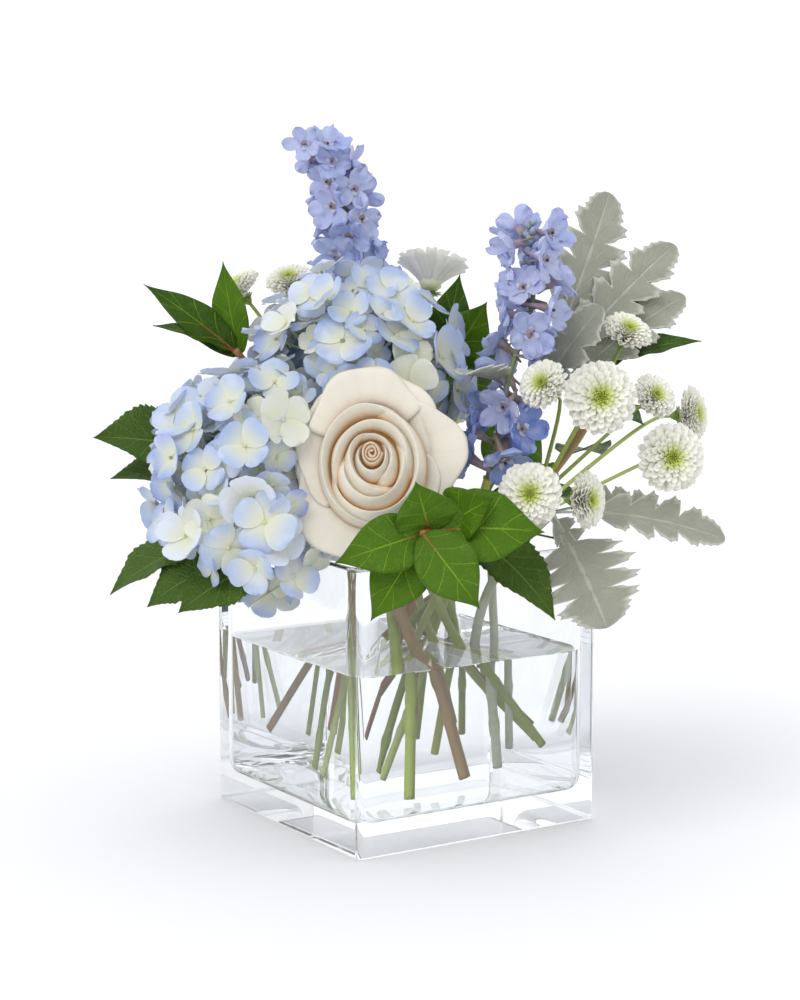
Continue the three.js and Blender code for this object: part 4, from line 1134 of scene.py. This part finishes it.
def heart_spiral():
    """The tight spiral in the middle of the rose, as one long rolled lip."""
    along, across = lattice(*HEART_GRID)
    side = 2 * along - 1
    winding = (across + 1) / 2
    turn = winding * 2 * math.pi * 2.9 + 0.6
    radius = 0.5 + (ROSE_HEART - 0.5) * winding ** 0.9 + 0.16 * np.sin(2.7 * turn)
    height = 26.6 + 0.9 * winding + 0.3 * np.sin(1.7 * turn) - rolled(np.abs(side), 0.15) * (2.0 + winding)
    # The second value is how near the lip each point lies: the rose's peach, partly painted shade, gathers
    # towards the crease.
    return oval(radius + side * 0.85, turn, height), 1 - np.abs(side)


def rose_core():
    """The closed body under the petals."""
    along, across = lattice(*CORE_GRID)
    section = Course([(0, 22, 0), (5, 19, 0), (19, 16.5, 0), (24, 15, 0), (16, 7, 0), (4, 1, 0)]).at(along)
    return oval(section[:, 0], across * math.pi, section[:, 1])


def grow_rose(look):
    """The rose from the inside out: the core, the spiral, the closed petals and the open ones."""
    made = Growth()
    rng = random.Random(21)
    # The core, deep between the petals, is mostly peach: partly the rose's own colour and partly painted
    # shade.
    body = rose_core()
    made.add_sheet(body, *CORE_GRID, blend(look.peach_and_crease_shade, look.ivory, 0.2), along=np.full(len(body), 0.2))
    points, lightness = heart_spiral()
    made.add_sheet(points, *HEART_GRID, blend(look.ivory, look.peach_and_crease_shade, 0.15), along=0.1 + 0.6 * lightness)
    lips = [ROSE_HEART - 1.2, ROSE_HEART, *(petal[0] for petal in ROSE_CLOSED), ROSE_SHOULDER, ROSE_SHOULDER]
    # Each petal's along mark is how near its lip a point lies, so the peach and its painted shade gather in
    # the creases.
    for k, (lip, height, degrees, reach) in enumerate(ROSE_CLOSED):
        inner, outer = lips[k] + 0.4, lips[k + 4]
        points, lightness = closed_petal(lip, height, math.radians(degrees), reach, inner, outer, rng)
        made.add_sheet(points, *CLOSED_GRID, look.ivory, rng.random(), along=0.1 + 0.9 * lightness)
    for degrees, reach, sharp, height in ROSE_OUTER:
        petal = open_petal(math.radians(degrees), reach, sharp, height, rng)
        made.add_sheet(petal, *OPEN_GRID, look.ivory, rng.random(), 0.25)
    whole = Growth()
    whole.add_growth(made, ROSE_FOOT, ROSE_FACING)
    whole.piece("rose_bloom_fine", "rose", ["rose"])


def grow_rose_stem(leaf_tint):
    """The rose's stem with its hip and sepals, and the one toothed leaf on its shoot."""
    made = Growth()
    add_stem(made, "rose_stem")
    bark = BARKS["rose_stem"]
    ahead = unit(ROSE_FACING)
    seat = np.asarray(ROSE_FOOT) - ahead * 0.3
    add_neck(made, "rose_stem", seat - ahead * 7, [2.0] * 8, bark)
    hip = Course([seat - ahead * 8, seat - ahead * 4, seat])
    made.add_tube(hip, [2.2, 3.6, 4.2, 4.4], bark, 12)
    small_leaf = sepal(14, 4.5, -7, 0.6, 0, 0, *ROSE_CALYX_GRID)
    green = blend(bark, SHADES["calyx"], 0.5)
    add_calyx(made, small_leaf, ROSE_CALYX_GRID, 5, seat - ahead * 1.2, ROSE_FACING, green)
    add_leaves(made, "rose_stem", {"hydrangea": leaf_tint}, SHADES["rose_stalk"], bark)
    made.piece("rose_stem_fine", "stem_green", ["bark", "hydrangea_leaf"])


# ---- Chrysanthemums ----

SPIRAL_TURN = 2.4  # the angle from one bead, bud or floret to the next, in radians
STRAP_GRID = (8, 5)
MUM_CALYX_GRID = (4, 3)
MUM_BACK = 0.34  # how far behind its place a bloom is seated, as a part of its radius
DIMPLE = 0.15  # radius of the dimple in its middle, likewise
DIMPLE_BEADS = 26
# The rings of strap petals, from the back: how many, their reach, the height of their tips, their width, and
# how green they are.
MUM_RINGS = (
    (21, 1.0, 0.0, 0.27, 0.0),
    (21, 0.98, 0.08, 0.27, 0.0),
    (20, 0.92, 0.16, 0.26, 0.0),
    (18, 0.82, 0.23, 0.25, 0.0),
    (17, 0.7, 0.29, 0.22, 0.02),
    (15, 0.57, 0.33, 0.19, 0.1),
    (13, 0.44, 0.35, 0.16, 0.35),
    (11, 0.32, 0.35, 0.13, 0.75),
    (9, 0.21, 0.32, 0.1, 1.0),
)
# The bloom at the top of the bunch is seen from behind: few petals, broad and raised.
BROAD_RINGS = (
    (15, 1.0, 0.3, 0.35, 0.0),
    (14, 0.93, 0.44, 0.34, 0.0),
    (11, 0.8, 0.52, 0.33, 0.0),
    (8, 0.5, 0.5, 0.3, 0.4),
)


def strap(reach, height, start, low, width):
    """A narrow, channelled petal with a rounded end that points along +Y and curls in at its tip."""
    along, across = lattice(*STRAP_GRID, 1.4)
    end = np.sqrt(np.clip(1 - (np.clip(along - 0.72, 0, 1) / 0.28) ** 2, 0.0, 1))
    x = across * width / 2 * (0.4 + 0.6 * along) * end
    y = start + (reach - start) * (along - 0.06 * along ** 4)
    z = low + (height - low) * np.sin(np.pi / 2 * along)
    z += 0.3 * width * across ** 2 * end + 0.06 * reach * along ** 4
    return np.stack([x, y, z], axis=1)


def grow_mum(name, place, facing, radius, look, rings=MUM_RINGS):
    """A double daisy: rings of strap petals that shorten and turn green towards a dimple."""
    made = Growth()
    rng = random.Random(name)
    for number, (count, reach, height, width, green) in enumerate(rings):
        tint = blend(look.petal, look.heart, green)
        for k in range(count):
            length = radius * reach * rng.uniform(0.93, 1.01)
            low = radius * (-0.3 + 0.5 * (1 - reach))
            petal = strap(length, radius * (height + rng.uniform(-0.03, 0.03)), radius * 0.08, low,
                          radius * width * rng.uniform(0.9, 1.05))
            turn = 2 * math.pi * (k + 0.5 * (number % 2)) / count + rng.uniform(-0.08, 0.08)
            made.add_sheet(spun(petal, turn), *STRAP_GRID, tint, rng.random())
    deep = blend(look.heart, (0.1, 0.2, 0.02), 0.6)
    for k in range(DIMPLE_BEADS):
        part = math.sqrt((k + 0.5) / DIMPLE_BEADS)
        out, turn = radius * DIMPLE * part, k * SPIRAL_TURN
        spot = (out * math.cos(turn), out * math.sin(turn), radius * (0.17 + 0.1 * part))
        made.add_bead(spot, radius * 0.03, blend(deep, look.heart, part), stretch=2.0, rows=4, sides=5)
    made.add_bead((0, 0, -radius * 0.12), radius * 0.3, blend(look.petal, look.heart, 0.4), stretch=0.75)
    whole = Growth()
    whole.add_growth(made, place, facing, radius)
    whole.piece(name + "_fine", "mum", ["mum"])


def grow_spray(name):
    """The branched stem of one chrysanthemum spray, with a green cup under each bloom."""
    made = Growth()
    add_stem(made, name)
    bark = BARKS[name]
    for place, facing, radius in MUMS[name]:
        ahead = unit(facing)
        seat = np.asarray(place) - ahead * (radius * MUM_BACK + 0.3)
        low = seat - ahead * 4
        root = node_on([COURSES[name]], low, 8)
        add_twig(made, [root, low - ahead * 7, low + ahead], bark, TWIG * 0.95)
        cup = Course([low, seat - ahead * 1.5, seat])
        made.add_tube(cup, [1.1, 2.0, 2.7, 2.8], blend(bark, SHADES["calyx"], 0.5), 10)
        small_leaf = sepal(radius * 0.34, radius * 0.16, 0.5, 0.2, 0, 0, *MUM_CALYX_GRID)
        green = blend(bark, SHADES["calyx"], 0.6)
        add_calyx(made, small_leaf, MUM_CALYX_GRID, 9, seat - ahead * 0.4, facing, green)
    made.piece(name + "_fine", "stem_green", ["bark"])


# ---- Delphiniums ----

SPIKE_GRID = (9, 8)
BEE_GRID = (4, 4)
BUDS = 14
# The tries to give a floret room on its spike: its part of the full reach and of the full size.
SPIKE_DRAFTS = ((1, 1), (0.85, 0.9), (0.85, 0.75), (0.7, 0.6))


def spike_floret(rng, radius, look, reach, low):
    """One delphinium floret: five crumpled petals, a pale bee with a dark eye, and a long tan spur."""
    made = Growth()
    shade = blend(look.blue, look.violet, rng.random())
    if low:
        shade = blend(look.deep, look.blue, rng.uniform(0, 0.4))
    cup = rng.uniform(0.25, 0.95)
    for k in range(5):
        petal = sepal(radius * rng.uniform(0.95, 1.2), radius * rng.uniform(0.8, 1.0),
                      radius * (cup + rng.uniform(-0.15, 0.15)), radius * rng.uniform(-0.35, 0.2),
                      radius * 0.13, rng.uniform(0, 6), *SPIKE_GRID)
        petal[:, 2] += radius * 0.05 * np.sin(petal[:, 1] * 1.1 + rng.uniform(0, 6))
        angle = k * 2 * math.pi / 5 + rng.uniform(-0.3, 0.3)
        tint = blend(shade, WHITE, rng.uniform(0, 0.3))
        made.add_sheet(spun(petal, angle), *SPIKE_GRID, tint, rng.random())
    bee = blend(look.violet, SHADES["bee"], rng.uniform(0.2, 0.8))
    for k in range(3):
        petal = sepal(radius * 0.36, radius * 0.3, radius * 0.35, radius * 0.08, 0, 0, *BEE_GRID)
        made.add_sheet(spun(petal, k * 2 * math.pi / 3 + 0.4), *BEE_GRID, bee, rng.random())
    made.add_bead((0, 0, radius * 0.12), radius * 0.08, SHADES["eye"], rows=4, sides=6)
    tan = blend(look.spur, look.violet, rng.uniform(0, 0.4))
    spur = Course([(0, 0, 0.5), (0.5, radius * 0.2, -radius * 0.5), (0, radius * 0.5, -radius * 1.15)])
    made.add_tube(spur, [radius * 0.24, radius * 0.17, radius * 0.1, 0.5], tan, 7)
    stalk = Course([(0, 0, -reach), (0.3, 0.2, -reach * 0.5), (0, 0, 0)])
    made.add_tube(stalk, [0.7, 0.6, 0.8], blend(look.spur, SHADES["spike_stalk"], 0.4), 5, closed=False)
    return made


def aside(turn, rise, along):
    """The way out from a stem at an angle round it, mostly square to the way it runs."""
    side = np.array([math.cos(turn), math.sin(turn), rise])
    return unit(side - along * (side @ along) * 0.7)


def add_buds(made, course, look, rng):
    """Closed buds round the last of a spike's stem, smaller to its tip."""
    for k in range(BUDS):
        part = k / (BUDS - 1)
        spot = 0.93 + 0.068 * part
        at, along = course.at(spot), course.heading(spot)
        side = aside(k * SPIRAL_TURN, 0.2, along)
        size = 2.5 - 1.1 * part
        shade = blend(look.violet, blend(look.blue, SHADES["bud"], part * 0.7), rng.random())
        made.add_bead(at + side * size * 1.1, size, shade, unit(side + along * 0.8), 1.35)


def grow_spike(key, look):
    """A delphinium spike: florets in a spiral round its stem, smaller to the tip, and buds at the end."""
    spike = SPIKES[key]
    course = COURSES["delphinium_stem_" + key]
    rng = random.Random(spike["seed"])
    made = Growth()
    start = spike["start"]
    made.add_tube(course, np.linspace(1.5, 0.9, 24), SHADES["spike_stem"], 7, span=(start, 1))
    for k in range(spike["count"]):
        part = k / (spike["count"] - 1)
        at = course.at(start + (1 - start) * (0.02 + 0.96 * part))
        along = course.heading(start + (1 - start) * part)
        side = aside(k * SPIRAL_TURN + rng.random() * 0.5, 0.1, along)
        facing = unit(side + [rng.uniform(-0.55, 0.55) for _ in range(3)])
        reach, radius = [low + (high - low) * part for low, high in zip(spike["low"], spike["high"])]
        reach *= rng.uniform(0.75, 1.0)
        seed = rng.random()
        low = key == "loose" and part < 0.25
        for out, scale in SPIKE_DRAFTS:
            flower = spike_floret(random.Random(seed), radius * scale * 0.9, look, reach * out, low)
            one = Growth()
            one.add_growth(flower, at + side * reach * out, facing, seed * 6)
            if has_room(one):
                made.add_growth(one)
                break
    add_buds(made, course, look, rng)
    made.piece(f"delphinium_spike_{key}_fine", "delphinium", ["delphinium"])


# ---- Vase and water ----

QUARTER = math.pi / 2
CORNER_STEPS = 8
OUTER_CORNER = 3 * MM
INNER_CORNER = 9 * MM
FLOOR_CURVE = 7 * MM  # how round the glass is where its inside meets its floor
SHARPEST = 0.4 * MM  # the least radius that a corner of a ring is left with
# The water's top from the glass inwards: how much narrower each ring is, and how far under the level.
WATER_TOP = ((0, 0.6), (0.2, 0.5), (3.0, 1.1), (8.0, 1.2))


def rounded_ring(side, corner, height):
    """The points of a square with rounded corners, in metres, at a height."""
    reach = side / 2 - corner
    points = []
    for quarter, (x, y) in enumerate(((1, 1), (-1, 1), (-1, -1), (1, -1))):
        for step in range(CORNER_STEPS + 1):
            angle = (quarter + step / CORNER_STEPS) * QUARTER
            out, over = corner * math.cos(angle), corner * math.sin(angle)
            points.append((x * reach + out, y * reach + over, height))
    return points


def ring_loft(name, rings, kind):
    """A closed body of glass or water through rounded square rings, from the first to the last."""
    work = bmesh.new()
    laid = [[work.verts.new(p) for p in rounded_ring(*r)] for r in rings]
    for lower, upper in zip(laid, laid[1:]):
        count = len(lower)
        for k in range(count):
            work.faces.new((lower[k], lower[(k + 1) % count], upper[(k + 1) % count], upper[k]))
    work.faces.new(laid[0][::-1])
    work.faces.new(laid[-1])
    for face in work.faces:
        face.smooth = len(face.verts) == 4
    mesh = bpy.data.meshes.new(name)
    work.to_mesh(mesh)
    work.free()
    mesh.materials.append(material(kind))
    piece = place_piece(name, mesh)
    flat_walls = piece.modifiers.new("flat_walls", "WEIGHTED_NORMAL")
    flat_walls.mode = "FACE_AREA"
    flat_walls.weight = 100
    back = Matrix.Rotation(-BUNCH_TURN, 3, "Z")
    points = [back @ vertex.co / MM for vertex in mesh.vertices]
    CROWD.append(BVHTree.FromPolygons(points, [face.vertices for face in mesh.polygons]))


def rounded_edge(side, corner, height, radius, start, end, steps=4):
    """Rings that round an edge, from one angle of its quarter circle to another."""
    rings = []
    for step in range(steps + 1):
        angle = start + (end - start) * step / steps
        out, up = radius * math.cos(angle), radius * math.sin(angle)
        rings.append((side + 2 * out, max(SHARPEST, corner + out), height + up))
    return rings


def floor_rings(inside, low, start, end):
    """Rings that round the edge where the inside of the glass meets its floor."""
    side, corner = inside - 2 * FLOOR_CURVE, INNER_CORNER - FLOOR_CURVE
    return rounded_edge(side, corner, low + FLOOR_CURVE, FLOOR_CURVE, start, end, 6)


def grow_vase(look):
    """The glass: up its outside, over the rim, and down its inside to the thick base."""
    foot, rim = 1.2 * MM, 1.6 * MM
    side, high, inside = look.side, look.height - rim, look.side - 2 * look.wall
    rings = [
        *rounded_edge(side - 2 * foot, OUTER_CORNER - foot, foot, foot, -QUARTER, 0),
        *rounded_edge(side - 2 * rim, OUTER_CORNER - rim, high, rim, 0, QUARTER),
        *rounded_edge(inside + 2 * rim, INNER_CORNER + rim, high, rim, QUARTER, 2 * QUARTER),
        *floor_rings(inside, look.base, 0, -QUARTER),
    ]
    ring_loft("vase_fine", rings, "glass")


def grow_water(look):
    """The water, which runs a hair into the glass so that no air shows between them."""
    into = 0.12 * MM
    inside = look.side - 2 * look.wall + 2 * into
    rings = floor_rings(inside, look.base - into, -QUARTER, 0)
    for narrower, under in WATER_TOP:
        rings.append((inside - narrower * MM, INNER_CORNER, look.water_level - under * MM))
    ring_loft("water_fine", rings, "water")


# ---- Stage ----

LENS = 86.4  # focal length in millimetres
CAMERA_AIM = (-1.5, 0, 145)
CAMERA_RISE = math.radians(8)
KEY_FROM = (-0.75, -1.0, 1.25)  # the side that the soft light comes from, in the bunch's frame
KEY_SOFTNESS = math.radians(38)
AIR = 0.15 * MM  # a hair of air under the vase, as under a real one
# The floor in metres: how far it runs forward and to the sides, where it bends up behind the vase, the
# radius of the bend, and the height of the wall behind it.
FLOOR_REACH = 9.0
FLOOR_BACK = 2.2
FLOOR_BEND = 0.8
WALL_TOP = 4.6


def grow_stage(look):
    """A pale floor that curves up into a backdrop, soft light from the left, and the camera."""
    add_camera(look.distance)
    add_floor(look.floor)
    add_key(look.key_power)
    light_the_room(look.room_light)


def add_camera(distance):
    """The camera, at the angle that the bunch is photographed from."""
    level = math.cos(CAMERA_RISE)
    back = Vector((math.sin(BUNCH_TURN) * level, -math.cos(BUNCH_TURN) * level, math.sin(CAMERA_RISE)))
    data = bpy.data.cameras.new("camera")
    data.lens = LENS
    data.clip_start = 0.05
    camera = add_object("camera", data)
    camera.location = Vector(to_room([CAMERA_AIM])[0]) + back * distance
    camera.rotation_euler = (-back).to_track_quat("-Z", "Y").to_euler()
    bpy.context.scene.camera = camera


def add_floor(paper):
    """A sheet that is flat under the vase and bends up far behind it."""
    profile = [(-FLOOR_REACH, -AIR), (FLOOR_BACK, -AIR)]
    for angle in np.linspace(0.1, QUARTER, 12):
        rise = FLOOR_BEND - FLOOR_BEND * math.cos(angle)
        profile.append((FLOOR_BACK + FLOOR_BEND * math.sin(angle), rise - AIR))
    profile.append((FLOOR_BACK + FLOOR_BEND, WALL_TOP))
    turn = Matrix.Rotation(BUNCH_TURN, 3, "Z")
    points = [tuple(turn @ Vector((x, y, z))) for y, z in profile for x in (-FLOOR_REACH, FLOOR_REACH)]
    mesh = bpy.data.meshes.new("floor")
    mesh.from_pydata(points, [], grid_faces(len(profile), 2).tolist())
    for polygon in mesh.polygons:
        polygon.use_smooth = True
    inputs = {"Base Color": (*paper, 1), "Roughness": 0.9, "Specular IOR Level": 0.1}
    mesh.materials.append(Finish("floor_paper").surface(inputs))
    floor = add_object("floor", mesh)


def add_key(power):
    """The soft, even light from the upper left."""
    data = bpy.data.lights.new("key", "SUN")
    data.angle = KEY_SOFTNESS
    data.energy = power
    lamp = add_object("key", data)
    towards = Matrix.Rotation(BUNCH_TURN, 3, "Z") @ Vector(KEY_FROM)
    lamp.rotation_euler = towards.to_track_quat("Z", "Y").to_euler()


def light_the_room(power):
    """The even light from all around, and how far the light is followed through the glass."""
    scene = bpy.context.scene
    world = bpy.data.worlds.new("room")
    scene.world = world
    world.use_nodes = True
    background = world.node_tree.nodes["Background"]
    background.inputs["Color"].default_value = (0.97, 0.98, 1, 1)
    background.inputs["Strength"].default_value = power
    scene.view_settings.view_transform = "Standard"
    scene.cycles.max_bounces = 32
    scene.cycles.transmission_bounces = 32
    scene.cycles.glossy_bounces = 12
    scene.cycles.transparent_max_bounces = 24
    scene.cycles.caustics_reflective = False
    scene.cycles.caustics_refractive = True
    scene.cycles.use_denoising = True
    scene.cycles.sample_clamp_indirect = 6


# ---- Operators ----

class BunchOperator:
    """What the bunch's operators share: each builds its pieces from the scene's settings."""
    bl_options = {"REGISTER", "UNDO"}

    def execute(self, context):
        self.build(context.scene.bunch)
        return {"FINISHED"}


class BUNCH_OT_stage(BunchOperator, bpy.types.Operator):
    """Sets up the floor, the lights and the camera"""
    bl_idname = "bunch.stage"
    bl_label = "Stage"

    def build(self, look):
        grow_stage(look.stage)


class BUNCH_OT_vase(BunchOperator, bpy.types.Operator):
    """Makes the glass vase and the water in it"""
    bl_idname = "bunch.vase"
    bl_label = "Vase and water"

    def build(self, look):
        grow_vase(look.vase)
        grow_water(look.vase)


class BUNCH_OT_rose(BunchOperator, bpy.types.Operator):
    """Makes the rose and its stem"""
    bl_idname = "bunch.rose"
    bl_label = "Rose"

    def build(self, look):
        grow_rose(look.rose)
        grow_rose_stem(look.hydrangea.leaf)


class BUNCH_OT_daisies(BunchOperator, bpy.types.Operator):
    """Makes the chrysanthemums and their sprays"""
    bl_idname = "bunch.daisies"
    bl_label = "Chrysanthemums"

    def build(self, look):
        for stem, blooms in MUMS.items():
            for k, (place, facing, radius) in enumerate(blooms):
                name = stem.replace("stems", f"bloom_{k + 1}")
                rings = BROAD_RINGS if name == "mum_bloom_3_left" else MUM_RINGS
                grow_mum(name, place, facing, radius, look.daisy, rings)
            grow_spray(stem)


class BUNCH_OT_greens(BunchOperator, bpy.types.Operator):
    """Makes the dusty miller, the salal and the hydrangea leaves, each on its stem"""
    bl_idname = "bunch.greens"
    bl_label = "Leaves and stems"

    def build(self, look):
        silver = {"dusty": look.leaf.silver, "small_dusty": look.leaf.silver}
        green = {"salal": look.leaf.salal, "dark_salal": look.leaf.salal_dark}
        for side in ("upper", "lower"):
            grow_green(f"dusty_miller_{side}", silver, SHADES["felt_stalk"], "silver", "felt", LEAF)
        for side in ("front", "left", "middle", "right", "back", "corner"):
            grow_green(f"salal_{side}", green, SHADES["salal_stalk"], "salal", "salal")
        for side in ("lower", "upper"):
            grow_hydrangea_stem(side, look.hydrangea)


class BUNCH_OT_spikes(BunchOperator, bpy.types.Operator):
    """Makes the two delphinium spikes and their stems"""
    bl_idname = "bunch.spikes"
    bl_label = "Delphiniums"

    def build(self, look):
        for key, spike in SPIKES.items():
            made = Growth()
            add_stem(made, "delphinium_stem_" + key, end=spike["stem_end"])
            made.piece(f"delphinium_stem_{key}_fine", "stem_green", ["bark"])
            grow_spike(key, look.spike)


class BUNCH_OT_heads(BunchOperator, bpy.types.Operator):
    """Makes the two hydrangea heads"""
    bl_idname = "bunch.heads"
    bl_label = "Hydrangea heads"

    def build(self, look):
        count = look.hydrangea.florets
        grow_head("lower", look.hydrangea, int(count * LOWER_PART))
        grow_head("upper", look.hydrangea, count)


class BUNCH_PT_panel(bpy.types.Panel):
    """Lists the bunch's builders in the sidebar"""
    bl_label = "Hydrangeas in a vase"
    bl_idname = "BUNCH_PT_panel"
    bl_space_type = "VIEW_3D"
    bl_region_type = "UI"
    bl_category = "Bunch"

    def draw(self, context):
        for operator in OPERATORS:
            self.layout.operator(operator.bl_idname)


OPERATORS = (
    BUNCH_OT_stage, BUNCH_OT_vase, BUNCH_OT_rose, BUNCH_OT_daisies, BUNCH_OT_greens, BUNCH_OT_spikes,
    BUNCH_OT_heads,
)
GROUPS = (
    VaseSettings, HydrangeaSettings, RoseSettings, SpikeSettings, DaisySettings, LeafSettings,
    StageSettings, BunchSettings,
)


def register():
    for cls in (*GROUPS, *OPERATORS, BUNCH_PT_panel):
        bpy.utils.register_class(cls)
    bpy.types.Scene.bunch = bpy.props.PointerProperty(type=BunchSettings)


def unregister():
    del bpy.types.Scene.bunch
    for cls in reversed((*GROUPS, *OPERATORS, BUNCH_PT_panel)):
        bpy.utils.unregister_class(cls)


def main():
    register()
    for operator in OPERATORS:
        family, name = operator.bl_idname.split(".")
        getattr(getattr(bpy.ops, family), name)()


if __name__ == "__main__":
    main()
